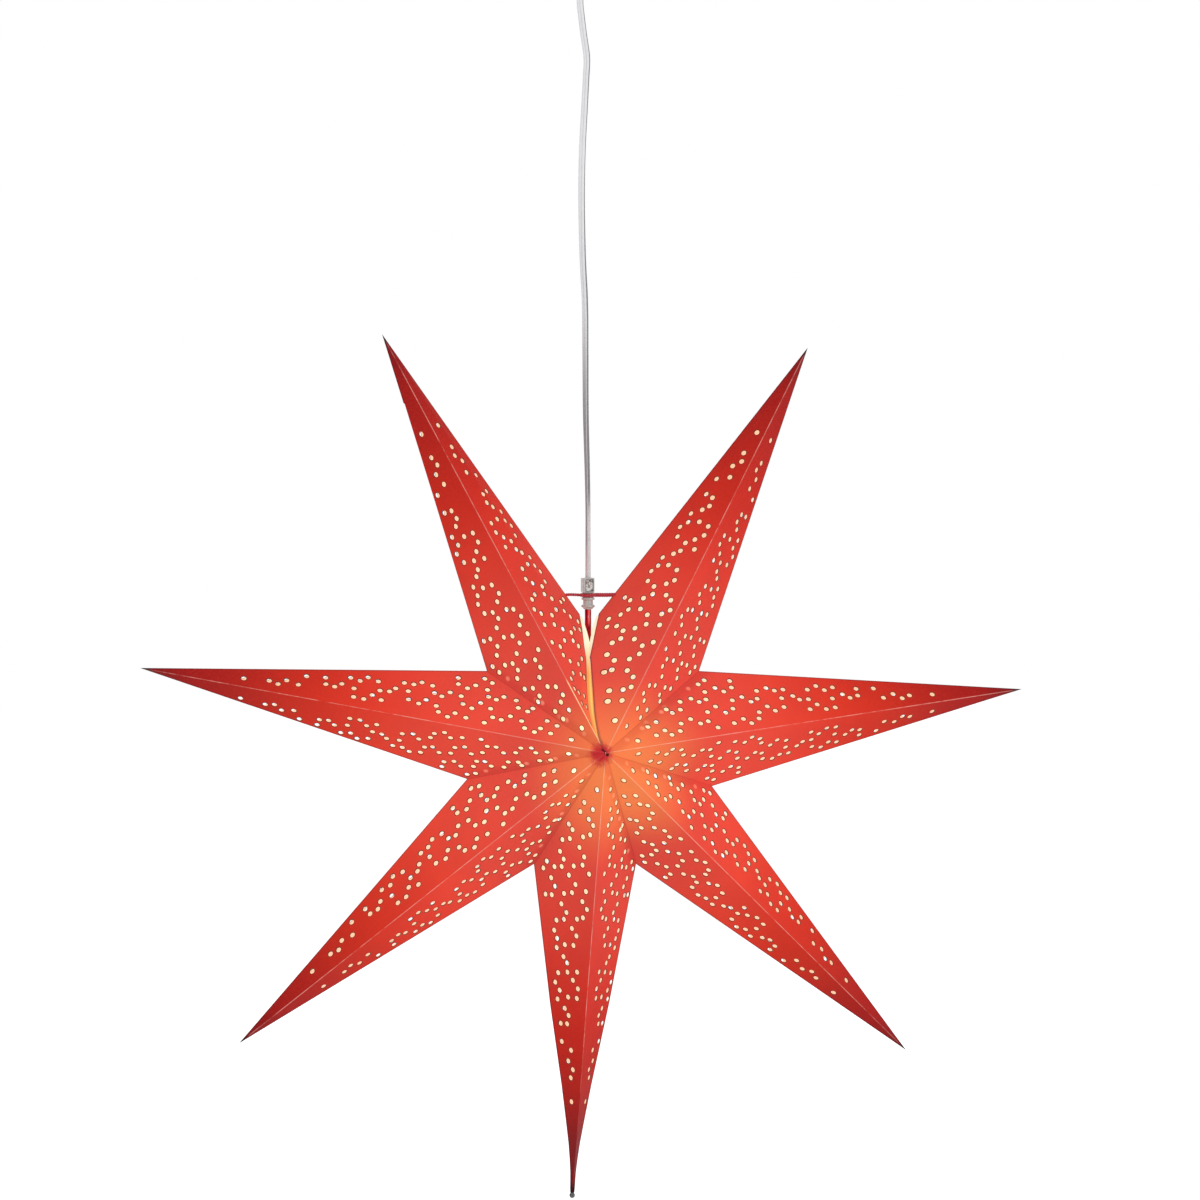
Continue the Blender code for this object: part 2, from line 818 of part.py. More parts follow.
# Clip, jaw and string.
def clip_housing():
    look = finish("clip_plastic", (0.72, 0.72, 0.70), 0.3, 0.0, 0.8)
    low = (clip_x - housing_width / 2, -housing_front, groove_top_z)
    high = (clip_x + housing_width / 2, housing_back, clip_top_z)
    housing = add("clip_housing", box(low, high, housing_edge), look, False)
    stack = [
        (0, groove_top_z + housing_edge),
        (groove_radius, groove_top_z + housing_edge),
        (groove_radius, collar_top_z),
        (collar_radius, collar_top_z),
        (collar_radius, neck_top_z),
        (neck_radius, neck_top_z),
        (neck_radius, flange_top_z),
        (flange_radius, flange_top_z - flange_edge),
        (flange_radius, foot_top_z + flange_edge),
        (foot_radius, foot_top_z),
        (foot_radius, foot_z),
        (0, foot_z),
    ]
    combine(housing, helper("clip_stack", turned(stack, clip_axis)), "UNION")
    bore = rod((clip_x, 0, clip_top_z + overrun), (clip_x, 0, foot_z - overrun), bore_radius)
    combine(housing, helper("clip_bore", bore), "DIFFERENCE")
    half = jaw_width / 2 + fit_gap
    top = clip_top_z - jaw_top_drop + fit_gap
    window = box(
        (clip_x - half, -housing_front - overrun, top - jaw_height - 2 * fit_gap),
        (clip_x + half, 0, top),
    )
    combine(housing, helper("clip_window", window), "DIFFERENCE")
    carry(housing, clip_slide)


def clip_jaw():
    """The ridged block that presses the flex against the back of the clip."""
    look = finish("jaw_plastic", (0.6, 0.6, 0.58), 0.4)
    top = clip_top_z - jaw_top_drop
    back = -bore_radius
    front = -housing_front + jaw_recess
    pitch = jaw_height / jaw_ridges
    bm = bmesh.new()
    side = [(back, top), (back, top - jaw_height)]
    for ridge in range(jaw_ridges):
        foot = top - jaw_height + ridge * pitch
        side.append((front + jaw_ridge_depth, foot))
        side.append((front, foot + pitch / 2))
    side.append((front + jaw_ridge_depth, top))
    face = bm.faces.new([bm.verts.new((clip_x - jaw_width / 2, y, z)) for y, z in side])
    grown = bmesh.ops.extrude_face_region(bm, geom=[face])
    moved = [item for item in grown["geom"] if isinstance(item, bmesh.types.BMVert)]
    bmesh.ops.translate(bm, vec=(jaw_width, 0, 0), verts=moved)
    bmesh.ops.recalc_face_normals(bm, faces=bm.faces)
    jaw = add("clip_jaw", bm, look, False)
    carry(jaw, jaw_slide)


def tie_string():
    look = finish("red_string", (0.5, 0.0, 0.03), 0.8)
    loop_radius = groove_radius + fit_gap + string_radius
    ring = arc(loop_radius, string_z, string_radius, 0, 360, string_sides)[:-1]
    loop = turned(ring, clip_axis, small_sides)
    string = add("tie_string", loop, look)
    for card_index, side in ((0, -1), (-1, 1)):
        stop_x = side_edge_x(card_index) + side * string_reach
        inner_x = clip_x + side * loop_radius
        arm = rod((inner_x, 0, string_z), (stop_x, 0, string_z), string_radius, string_sides)
        combine(string, helper(f"string_arm_{side}", arm), "UNION")
        combine(string, helper(f"stop_knot_{side}", knot((stop_x, 0, string_z), stop_knot_radius)), "UNION")
    front = (clip_x, string_radius - loop_radius - front_knot_radius, string_z)
    combine(string, helper("front_knot", knot(front, front_knot_radius)), "UNION")
    carry(string, star_turn)


def knot(place, radius):
    bm = bmesh.new()
    bmesh.ops.create_icosphere(bm, subdivisions=2, radius=radius, matrix=Matrix.Translation(place))
    return bm


# Star: directions are in its own plane, with bearings from straight down.
def towards(bearing_deg):
    angle = math.radians(bearing_deg)
    return Vector((math.sin(angle), 0, -math.cos(angle)))


def tip_of(index):
    return star_centre + towards(point_bearings_deg[index]) * point_radius


def valley_bearing(index):
    """The bearing of the valley before card number index, which is the seam at both ends."""
    if index == 0:
        return seam_bearing_deg - 360
    if index == len(point_bearings_deg):
        return seam_bearing_deg
    return (point_bearings_deg[index - 1] + point_bearings_deg[index]) / 2


def seam_corner(side):
    """The free corner at the seam of the first card (side 1) or the last one (side -1)."""
    along = towards(seam_bearing_deg)
    across = towards(seam_bearing_deg + 90)
    return star_centre + along * seam_corner_radius + across * seam_half_gap * side


def side_edge_x(index):
    """Where the string's height meets the fold at the seam side of an end card."""
    corner = seam_corner(1 if index == 0 else -1)
    tip = tip_of(index)
    share = (string_z - corner.z) / (tip.z - corner.z)
    return corner.x + (tip.x - corner.x) * share


def card_sheet(index):
    """One card as a sheet without thickness: two front faces, two back faces, flap and hem."""
    bearing = point_bearings_deg[index]
    last = len(point_bearings_deg) - 1
    bm = bmesh.new()
    tip = bm.verts.new(tip_of(index))
    apexes = [bm.verts.new(star_centre + Vector((0, side * apex_depth, 0))) for side in (-1, 1)]
    for turn, edge_index in ((-1, index), (1, index + 1)):
        at_seam = edge_index in (0, last + 1)
        if at_seam:
            corner = bm.verts.new(seam_corner(-turn))
        else:
            corner = bm.verts.new(star_centre + towards(valley_bearing(edge_index)) * corner_radius)
        for side, apex in zip((-1, 1), apexes):
            rim = [apex, corner]
            if at_seam:
                rim = [apex, bm.verts.new(seam_bend(-turn, side)), corner]
            for first, second in zip(rim, rim[1:]):
                bm.faces.new((tip, first, second))
    bmesh.ops.recalc_face_normals(bm, faces=bm.faces)
    middle = sum((face.calc_center_median() for face in bm.faces), Vector()) / len(bm.faces)
    if any((face.calc_center_median() - middle).dot(face.normal) < 0 for face in bm.faces):
        bmesh.ops.reverse_faces(bm, faces=bm.faces)
    trim(bm, star_centre + towards(bearing) * apex_opening, -towards(bearing))
    for turn, edge_index in ((-1, index), (1, index + 1)):
        at_seam = edge_index in (0, last + 1)
        outward = towards(valley_bearing(edge_index) + 90) * turn
        gap = seam_root_half_gap if at_seam else glue_gap / 2
        trim(bm, star_centre - outward * gap, outward)
        if at_seam:
            hem(bm, edge_index, outward)
        elif turn > 0:
            glue_flap(bm, edge_index, outward)
    return bm


def seam_bend(turn, side):
    """Where the free edge of an end card bends away from the seam."""
    along = towards(seam_bearing_deg)
    across = towards(seam_bearing_deg + 90)
    depth = apex_depth * (1 - seam_bend_radius / seam_corner_radius)
    place = star_centre + along * seam_bend_radius + across * seam_bend_half_gap * turn
    return place + Vector((0, side * depth, 0))


def trim(bm, place, outward):
    geom = list(bm.verts) + list(bm.edges) + list(bm.faces)
    bmesh.ops.bisect_plane(bm, geom=geom, dist=weld, plane_co=place, plane_no=outward, clear_outer=True)
    bmesh.ops.remove_doubles(bm, verts=bm.verts, dist=weld)


def free_edges(bm, edge_index, outward, side):
    """The free edges of one front or back face along a valley."""
    found = []
    reach = seam_half_gap + weld if edge_index in (0, len(point_bearings_deg)) else glue_gap
    for edge in bm.edges:
        middle = sum((vert.co for vert in edge.verts), Vector()) / 2 - star_centre
        near = -reach < middle.dot(outward) < weld + glue_gap
        if edge.is_boundary and near and middle.y * side > 0:
            span = edge.verts[0].co - edge.verts[1].co
            if abs(span.y) > apex_opening:
                found.append(edge)
    return found


def glue_flap(bm, edge_index, outward):
    """A strip that steps under the next card and lies along its inner side."""
    along = towards(valley_bearing(edge_index))
    for side in (-1, 1):
        corner = star_centre + along * corner_radius
        apex = star_centre + Vector((0, side * apex_depth, 0))
        fall = (corner - apex).normalized()
        next_tip = tip_of(edge_index)
        normal = (next_tip - apex).cross(fall).normalized()
        if normal.y * side > 0:
            normal.negate()
        inward = outward.cross(fall).normalized()
        if inward.y * side > 0:
            inward.negate()
        lie = fall.cross(normal).normalized()
        if lie.dot(outward) < 0:
            lie.negate()
        edges = [between(bm, free_edges(bm, edge_index, outward, side)[0], apex)]
        grown = bmesh.ops.extrude_edge_only(bm, edges=edges)
        step = [item for item in grown["geom"] if isinstance(item, bmesh.types.BMVert)]
        under = card + flap_clearance
        depth = (under + glue_gap * outward.dot(normal)) / inward.dot(normal)
        slip = inward * depth
        bmesh.ops.translate(bm, vec=slip, verts=step)
        second = [item for item in grown["geom"] if isinstance(item, bmesh.types.BMEdge)]
        second = [edge for edge in second if all(vert in step for vert in edge.verts)]
        grown = bmesh.ops.extrude_edge_only(bm, edges=second)
        far = [item for item in grown["geom"] if isinstance(item, bmesh.types.BMVert)]
        far.sort(key=lambda vert: (vert.co - apex).dot(fall))
        far[0].co += lie * flap_width + fall * flap_bevel
        far[-1].co += lie * flap_width - fall * flap_bevel


def between(bm, edge, apex):
    """Splits a valley edge near its two ends, and gives the part between them."""
    near, far = sorted(edge.verts, key=lambda vert: (vert.co - apex).length)
    start = near.co.lerp(far.co, flap_apex_inset / edge.calc_length())
    end = far.co.lerp(near.co, flap_corner_inset / edge.calc_length())
    _, first = bmesh.utils.edge_split(edge, near, flap_apex_inset / edge.calc_length())
    rest = next(item for item in first.link_edges if far in item.verts)
    _, second = bmesh.utils.edge_split(rest, far, flap_corner_inset / rest.calc_length())
    first.co, second.co = start, end
    return next(item for item in first.link_edges if second in item.verts)


def hem(bm, edge_index, outward):
    """The unprinted strip folded in along the free edge at the seam."""
    along = towards(valley_bearing(edge_index))
    for side in (-1, 1):
        edges = free_edges(bm, edge_index, outward, side)
        grown = bmesh.ops.extrude_edge_only(bm, edges=edges)
        far = [item for item in grown["geom"] if isinstance(item, bmesh.types.BMVert)]
        apex = star_centre + Vector((0, side * apex_depth, 0))
        far.sort(key=lambda vert: (vert.co - apex).length)
        fall = (far[-1].co - far[0].co).normalized()
        for vert in far:
            reach = (vert.co - star_centre).dot(along)
            open_share = max(0.0, (reach - seam_bend_radius) / (seam_corner_radius - seam_bend_radius))
            lean = Vector((0, -side, 0)) + outward * hem_lean_share * open_share
            width = hem_width * (1 - (1 - hem_end_share) * open_share)
            vert.co += lean.normalized() * width
        far[0].co += fall * hem_inset
        far[-1].co -= fall * hem_inset


def perforations(index):
    """Short bars through the four faces of a card, one for each hole."""
    bm = bmesh.new()
    tip = tip_of(index)
    for turn, edge_index in ((-1, index), (1, index + 1)):
        at_seam = edge_index in (0, len(point_bearings_deg))
        corner = star_centre + towards(valley_bearing(edge_index)) * corner_radius
        if at_seam:
            corner = seam_corner(-turn)
        for side in (-1, 1):
            ridge = star_centre + Vector((0, side * apex_depth, 0)) - tip
            across = (corner - tip) - (corner - tip).project(ridge)
            normal = ridge.cross(across).normalized()
            lay = normal.to_track_quat("Z", "Y").to_matrix().to_4x4()
            for along_share, across_share in perforation_shares:
                place = tip + ridge * along_share + across * across_share
                bmesh.ops.create_cone(
                    bm,
                    cap_ends=True,
                    segments=perforation_sides,
                    radius1=perforation_radius,
                    radius2=perforation_radius,
                    depth=2 * overrun,
                    matrix=Matrix.Translation(place) @ lay,
                )
    return bm


def star_card(index):
    name = f"point_{index + 1}"
    look = finish(f"red_card_{index + 1}", (0.60, 0.02, 0.015), 0.6)
    piece = add(name, card_sheet(index), look, False)
    wall = piece.modifiers.new("card", "SOLIDIFY")
    wall.thickness = card
    wall.offset = -1.0
    wall.use_even_offset = True
    wall.use_quality_normals = True
    combine(piece, helper(f"perforations_{index + 1}", perforations(index)), "DIFFERENCE")
    if index in (0, len(point_bearings_deg) - 1):
        side = -1 if index == 0 else 1
        fold_x = side_edge_x(index)
        start = (fold_x - side * overrun, 0, string_z)
        end = (fold_x + side * string_reach, 0, string_z)
        combine(piece, helper(f"string_hole_{index + 1}", rod(start, end, string_hole_radius)), "DIFFERENCE")
    carry(piece, star_nod)


def tip_bead():
    """A small metal bead that the lowest tip is pushed into."""
    look = finish("bead_metal", (0.5, 0.5, 0.5), 0.25, 1.0)
    index = min(range(len(point_bearings_deg)), key=lambda item: abs(point_bearings_deg[item]))
    outline = [
        (0, -bead_radius),
        *arc(0, 0, bead_radius, *bead_arc_deg, bead_rings),
        (bead_mouth_radius, bead_radius),
        (bead_mouth_radius, bead_radius / 2),
        (0, -bead_radius / 2),
    ]
    bm = turned(outline, origin, small_sides)
    lay = Matrix.Rotation(math.radians(-point_bearings_deg[index]), 4, "Y")
    bmesh.ops.transform(bm, matrix=Matrix.Translation(tip_of(index)) @ lay, verts=bm.verts)
    bead = add("tip_bead", bm, look)
    carry(bead, star_nod)


ceiling_plate()
plate_screws()
ceiling_cup()
cup_screws()
terminal_block()
inner_cord()
strain_relief()
pendant_cord()
cord_sleeve()
holder_cap()
holder_body()
holder_insulator()
holder_shell()
holder_contact()
bulb_contact()
bulb_cap()
bulb_glass()
bulb_stem()
bulb_filament()
clip_housing()
clip_jaw()
tie_string()
for number in range(len(point_bearings_deg)):
    star_card(number)
tip_bead()
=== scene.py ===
"""Looks of a seven-pointed paper star lantern: folded and punched card points, a clip and its
string, a clear flat flex, a lampholder with its bulb, and a small ceiling cup."""

import math

import bmesh
import bpy
from mathutils import Matrix, Vector


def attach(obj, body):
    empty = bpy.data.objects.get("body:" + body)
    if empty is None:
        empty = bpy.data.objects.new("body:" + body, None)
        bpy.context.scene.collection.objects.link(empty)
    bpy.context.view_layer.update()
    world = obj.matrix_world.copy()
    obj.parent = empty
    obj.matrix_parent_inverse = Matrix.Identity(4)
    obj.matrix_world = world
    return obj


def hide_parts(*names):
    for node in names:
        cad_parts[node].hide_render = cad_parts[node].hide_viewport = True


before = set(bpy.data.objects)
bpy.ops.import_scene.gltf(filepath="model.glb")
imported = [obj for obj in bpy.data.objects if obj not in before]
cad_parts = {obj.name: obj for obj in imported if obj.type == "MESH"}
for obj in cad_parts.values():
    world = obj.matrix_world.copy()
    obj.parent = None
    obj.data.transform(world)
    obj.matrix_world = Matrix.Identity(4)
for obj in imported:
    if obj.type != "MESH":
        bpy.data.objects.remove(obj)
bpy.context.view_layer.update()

# Sizes of the star, as its solids have them. Bearings turn from straight down towards +X.
star_middle = Vector((0.0040, 0.0, -0.669217))
point_bearings = (-153.0, -100.6, -50.7, -2.4, 45.8, 96.3, 150.8)
point_reaches = (0.3532, 0.3494, 0.3507, 0.3500, 0.3527, 0.3478, 0.3507)
card_count = len(point_bearings)
end_cards = (0, card_count - 1)
jogged_card = 0
beaded_card = 3
apex_depth = 0.062
apex_opening = 0.0003
card_thickness = 0.0004
weld = 0.000001

# Each valley's bearing and how far out its corner lies, as the glued cards have settled.
valley_corners = (
    (-125.9, 0.0996), (-75.85, 0.0992), (-26.05, 0.1012),
    (21.0, 0.0994), (70.65, 0.1014), (123.35, 0.1020),
)
flap_width = 0.0075
flap_clearance = 0.00035
flap_apex_inset = 0.016
flap_corner_inset = 0.007
flap_bevel = 0.006
flap_cuts = 14

# The open seam: where its corners and its bends lie, and the strips turned in along it.
seam_bearing = 181.3
seam_corner_radius = 0.1013
seam_half_gaps = {1: 0.0064, -1: 0.0087}
seam_bend_radius = 0.0700
seam_bend_depth = 0.0217
seam_bend_half_gap = 0.0018
seam_root_half_gap = 0.00012
seam_cuts = 17
seam_cut_reach = 0.104
hem_width = 0.0045
front_hem_width = 0.0062

# How the free edges lie at the front, by their distance from the middle: the left half turns in
# about its ridge, in degrees, and the right half laps over towards it.
turned_in = (
    (0.0, 62.0), (0.009, 59.0), (0.013, 43.0), (0.024, 33.5), (0.045, 19.5), (0.060, 11.5),
    (0.072, 7.0), (0.090, 1.5), (0.1013, 0.0),
)
lapped_over = (
    (0.0, 0.0), (0.003, 0.0016), (0.009, 0.0049), (0.018, 0.0058), (0.028, 0.0066), (0.045, 0.0059),
    (0.072, 0.0053), (0.090, 0.0026), (0.1013, 0.0),
)
# How far the front's strip leans in, kept flat where the lampholder hangs behind it.
hem_lean = ((0.0, 0.9), (0.040, 0.9), (0.052, 0.2), (0.1013, 0.2))

# The punched pattern of a half face, in millimetres: along the ridge from the tip, and out from it.
ridge_mm = 355.4
corner_out_mm = 62.1
punched_mm = (
    (77.8, 11.3), (96.8, 13.5), (103.8, 11.8), (109.5, 17.0), (118.8, 14.8), (123.3, 24.8),
    (138.8, 20.3), (137.5, 26.8), (145.8, 19.3), (150.5, 23.5), (156.0, 31.3), (160.3, 21.0),
    (163.5, 29.8), (161.5, 12.3), (169.3, 12.0), (168.8, 34.8), (177.0, 32.5), (174.8, 17.5),
    (182.3, 14.0), (179.8, 23.5), (187.0, 24.3), (191.0, 28.5), (200.8, 28.0), (202.3, 19.5),
    (196.5, 35.8), (203.8, 36.0), (210.5, 17.3), (215.3, 22.3), (209.5, 39.5), (218.0, 38.0),
    (220.5, 30.8), (226.5, 28.8), (223.8, 18.0), (226.3, 12.3), (233.8, 9.0), (238.8, 14.0),
    (247.5, 11.3), (232.0, 34.3), (240.8, 32.5), (243.3, 24.8), (250.5, 22.0), (256.3, 29.0),
    (235.8, 50.8), (236.8, 44.5), (244.3, 41.8), (250.0, 46.3), (255.8, 54.8), (262.0, 51.8),
    (259.5, 43.8), (261.3, 36.8), (267.5, 35.3), (272.8, 39.5), (282.5, 38.0), (285.0, 30.8),
    (264.5, 25.0), (267.3, 16.5), (274.0, 15.5), (261.8, 9.5), (280.3, 20.8), (289.3, 18.0),
    (292.5, 11.3), (300.3, 9.0), (304.3, 13.8), (312.5, 10.5), (316.3, 19.3), (308.3, 22.5),
    (292.5, 28.8), (296.0, 32.8), (328.8, 8.0),
)
hole_radius = 0.0020
rim_width = 0.00055
hole_sides = 12
hole_twist = 0.37
punch_margin = 0.0008

# How far the punch was off on each half face, in millimetres: along, out, and out for each 100
# along from the place where it doesn't slant.
slant_middle_mm = 220
punched_off = (
    (1.8, -3.0, 0.0), (1.7, 0.6, 0.2),
    (-0.5, -1.4, 0.8), (-0.6, 2.0, -0.7),
    (-0.8, -1.7, -0.6), (-1.7, 1.3, 0.8),
    (-3.4, -2.1, 0.0), (-4.2, 2.8, 1.2),
    (-1.3, -0.4, -0.2), (-1.5, -0.7, 0.8),
    (-1.6, -0.5, -0.2), (-2.1, -2.2, 0.8),
    (-0.4, 0.4, 0.4), (0.6, -3.7, 0.6),
)

# The lowest point's tip is pinched: its width at a distance from its end, against a straight taper.
pinched = (
    (0.0, 4.4), (0.0024, 4.4), (0.006, 2.0), (0.010, 1.25), (0.018, 0.80), (0.029, 0.71),
    (0.041, 0.72), (0.058, 0.80), (0.087, 0.88), (0.115, 0.95), (0.150, 1.0),
)

# The small jog in the upper left point's outer edge: how far from its tip, how deep, and how long.
jog_place = 0.0545
jog_depth = 0.0011
jog_length = 0.0007

# The flex's route: x, y and the drop below its top end, as its solid has them, and how it turns.
flex_top = -0.069217
flex_end = -0.597817
flex_route = (
    (0, 0, 0), (0, 0, 0.010), (-0.0020, 0.0004, 0.020), (-0.0041, 0.0008, 0.031),
    (-0.0028, 0.0009, 0.045), (-0.0010, 0.0006, 0.059), (0.0011, 0, 0.075),
    (0.0004, -0.0004, 0.090), (-0.0009, -0.0008, 0.113), (-0.0026, -0.0008, 0.145),
    (-0.0031, -0.0004, 0.180), (-0.0022, 0, 0.225), (-0.0004, 0.0003, 0.260), (0, 0.0004, 0.300),
    (0.0003, 0.0003, 0.345), (0.0014, 0.0001, 0.390), (0.0019, 0, 0.420), (0.0019, 0, 0.460),
    (0.0019, 0, 0.500), (0.0019, 0, 0.5286),
)
flex_turns = (0.15, 0.30, 0.55, 0.30, 0.60, 0.80, 0.75, 0.85, 1.20, 1.42, 1.06, 0.98)
sleeve_turn = 0.98
flex_bore = 0.00275

# Heights of what hangs on the flex and in the ceiling cup.
clip_x = 0.0019
clip_middle = Vector((clip_x, 0, 0))
clip_top = -0.540017
string_height = -0.553417
sleeve_top, sleeve_foot = -0.564517, -0.592517
dome_top = -0.592817
holder_top = -0.611117
solder_top = -0.622917
bulb_cap_top = -0.624117
bulb_neck = -0.640617
block_top = -0.0023
lead_top, lead_foot = -0.0146, -0.030517
ball_middle = -0.037817
side_screw_height = -0.006
side_hole_radius = 0.0019
plate_screw_x = 0.0180
floor_height = -1.32


def place_camera():
    """Sets the camera at the photograph's angle, a little to the left of the star and above it."""
    camera = bpy.data.cameras.new("camera")
    camera.lens = 97.41
    camera.sensor_width = 36.0
    camera.sensor_fit = "HORIZONTAL"
    camera.clip_end = 50.0
    seat = bpy.data.objects.new("camera", camera)
    bpy.context.scene.collection.objects.link(seat)
    yaw, pitch = math.radians(10.66), math.radians(3.01)
    level = math.cos(pitch)
    look = Vector((math.sin(yaw) * level, math.cos(yaw) * level, -math.sin(pitch)))
    seat.location = star_middle + Vector((-0.4537, -2.4490, 0.2429))
    seat.rotation_euler = look.to_track_quat("-Z", "Y").to_euler()
    bpy.context.scene.camera = seat


# Small tools for shapes.
def towards(bearing):
    """A direction in the star's plane, turned from straight down towards +X."""
    angle = math.radians(bearing)
    return Vector((math.sin(angle), 0, -math.cos(angle)))


def route_lengths(places):
    """How far along a route each of its places lies."""
    lengths = [0.0]
    for first, second in zip(places, places[1:]):
        lengths.append(lengths[-1] + (second - first).length)
    return lengths


def smooth_route(points, count):
    """Even places along the smooth curve through the given points."""
    ends = [2 * points[0] - points[1], *points, 2 * points[-1] - points[-2]]
    fine = []
    for a, b, c, d in zip(ends, ends[1:], ends[2:], ends[3:]):
        for step in range(16):
            t = step / 16
            bend = (2 * a - 5 * b + 4 * c - d) * t**2
            swing = (3 * b - a - 3 * c + d) * t**3
            fine.append((2 * b + (c - a) * t + bend + swing) / 2)
    fine.append(points[-1])
    lengths = route_lengths(fine)
    even = []
    at = 0
    for step in range(count + 1):
        want = lengths[-1] * step / count
        while at < len(fine) - 2 and lengths[at + 1] < want:
            at += 1
        share = (want - lengths[at]) / max(lengths[at + 1] - lengths[at], 1e-12)
        even.append(fine[at].lerp(fine[at + 1], share))
    return even


def new_object(name, mesh):
    made = bpy.data.objects.new(name, mesh)
    bpy.context.scene.collection.objects.link(made)
    return made


def new_mesh(name, bm):
    """Moves a bmesh into a mesh."""
    mesh = bpy.data.meshes.new(name)
    bm.to_mesh(mesh)
    bm.free()
    return mesh


def add_piece(name, bm, finishes, smooth_below):
    """Turns a bmesh into a piece at the origin, with its finishes in the order of their slots."""
    mesh = new_mesh(name, bm)
    if smooth_below:
        mesh.shade_smooth()
        mesh.set_sharp_from_angle(angle=math.radians(smooth_below))
    for finish in finishes:
        mesh.materials.append(finish)
    return new_object(name, mesh)


def stands_for(piece, body, node_name):
    """Says which body a piece moves with and which solid it replaces."""
    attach(piece, body)
    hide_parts(node_name)


def settle(piece):
    """Applies the piece's modifiers, so that its mesh holds its whole shape."""
    graph = bpy.context.evaluated_depsgraph_get()
    mesh = bpy.data.meshes.new_from_object(piece.evaluated_get(graph))
    mesh.name = piece.name
    piece.modifiers.clear()
    old = piece.data
    piece.data = mesh
    bpy.data.meshes.remove(old)


def joined(*shapes):
    """Puts several shapes into the first one."""
    whole = shapes[0]
    for shape in shapes[1:]:
        mesh = new_mesh("part", shape)
        whole.from_mesh(mesh)
        bpy.data.meshes.remove(mesh)
    return whole


def carved(shape, cutter, operation="DIFFERENCE"):
    """Cuts one closed shape out of another, or welds them into one body."""
    made = [new_object("carving", new_mesh("carving", bm)) for bm in (shape, cutter)]
    step = made[0].modifiers.new("carve", "BOOLEAN")
    step.operation = operation
    step.solver = "EXACT"
    step.object = made[1]
    graph = bpy.context.evaluated_depsgraph_get()
    whole = bmesh.new()
    whole.from_mesh(made[0].evaluated_get(graph).to_mesh())
    made[0].evaluated_get(graph).to_mesh_clear()
    for helper in made:
        data = helper.data
        bpy.data.objects.remove(helper, do_unlink=True)
        bpy.data.meshes.remove(data)
    return whole


def turned(outline, centre=Vector(), sides=64):
    """Spins an outline of (radius, height) pairs about the upright line through the centre."""
    bm = bmesh.new()
    ring = [bm.verts.new(centre + Vector((radius, 0, height))) for radius, height in outline]
    edges = []
    for start, end in zip(range(len(ring)), [*range(1, len(ring)), 0]):
        if outline[start][0] > 0 or outline[end][0] > 0:
            edges.append(bm.edges.new((ring[start], ring[end])))
    turn = {"axis": (0, 0, 1), "angle": math.tau, "steps": sides, "use_merge": True}
    bmesh.ops.spin(bm, geom=ring + edges, cent=centre, **turn)
    bmesh.ops.remove_doubles(bm, verts=bm.verts, dist=weld)
    bmesh.ops.recalc_face_normals(bm, faces=bm.faces)
    return bm


def outline_mm(top, *pairs):
    """An outline from pairs in millimetres: the radius, and the drop below a height."""
    return [(radius / 1000, top - drop / 1000) for radius, drop in pairs]


def eased(outline, radius, steps=2):
    """The same closed outline with its corners rounded, apart from those on the axis."""
    points = [Vector((x, y)) for x, y in outline]
    soft = []
    for at, point in enumerate(points):
        before = points[at - 1] - point
        after = points[(at + 1) % len(points)] - point
        nothing = point.x <= 0 or before.length < 1e-9 or after.length < 1e-9
        if nothing or before.angle(after, math.pi) > math.radians(165):
            soft.append(tuple(point))
            continue
        reach = min(radius, before.length * 0.45, after.length * 0.45)
        start = point + before.normalized() * reach
        end = point + after.normalized() * reach
        for step in range(steps + 1):
            t = step / steps
            soft.append(tuple(start * (1 - t) ** 2 + point * 2 * t * (1 - t) + end * t**2))
    return soft


def arc(centre_radius, centre_height, wide, start_deg, end_deg, steps, high=None):
    """Points of a round or drawn-out arc in a turned outline."""
    points = []
    for step in range(steps + 1):
        angle = math.radians(start_deg + (end_deg - start_deg) * step / steps)
        rise = (wide if high is None else high) * math.sin(angle)
        points.append((centre_radius + wide * math.cos(angle), centre_height + rise))
    return points


def rolled_thread(radius, depth, top, length, turns, steps):
    """The wavy line of a rolled screw thread in a turned outline."""
    return [
        (radius + depth * math.cos(math.tau * step / steps * turns), top - length * step / steps)
        for step in range(steps + 1)
    ]


def block(low, high, edge=0.0, segments=1):
    """A block between two corners, with its edges rounded."""
    bm = bmesh.new()
    size = Vector(high) - Vector(low)
    middle = (Vector(high) + Vector(low)) / 2
    lay = Matrix.Translation(middle) @ Matrix.Diagonal((*size, 1.0))
    bmesh.ops.create_cube(bm, size=1.0, matrix=lay)
    if edge:
        soft = {"segments": segments, "profile": 0.5, "affect": "EDGES", "material": -1}
        bmesh.ops.bevel(bm, geom=bm.edges, offset=edge, **soft)
    return bm


def bar(start, end, radius, sides=32):
    """A straight round bar between two places."""
    start, end = Vector(start), Vector(end)
    along = end - start
    lay = along.to_track_quat("Z", "Y").to_matrix().to_4x4()
    bm = bmesh.new()
    bmesh.ops.create_cone(
        bm,
        cap_ends=True,
        segments=sides,
        radius1=radius,
        radius2=radius,
        depth=along.length,
        matrix=Matrix.Translation((start + end) / 2) @ lay,
    )
    return bm


def ahead_at(places, at):
    """The way that a route runs at one of its places."""
    return (places[min(at + 1, len(places) - 1)] - places[max(at - 1, 0)]).normalized()


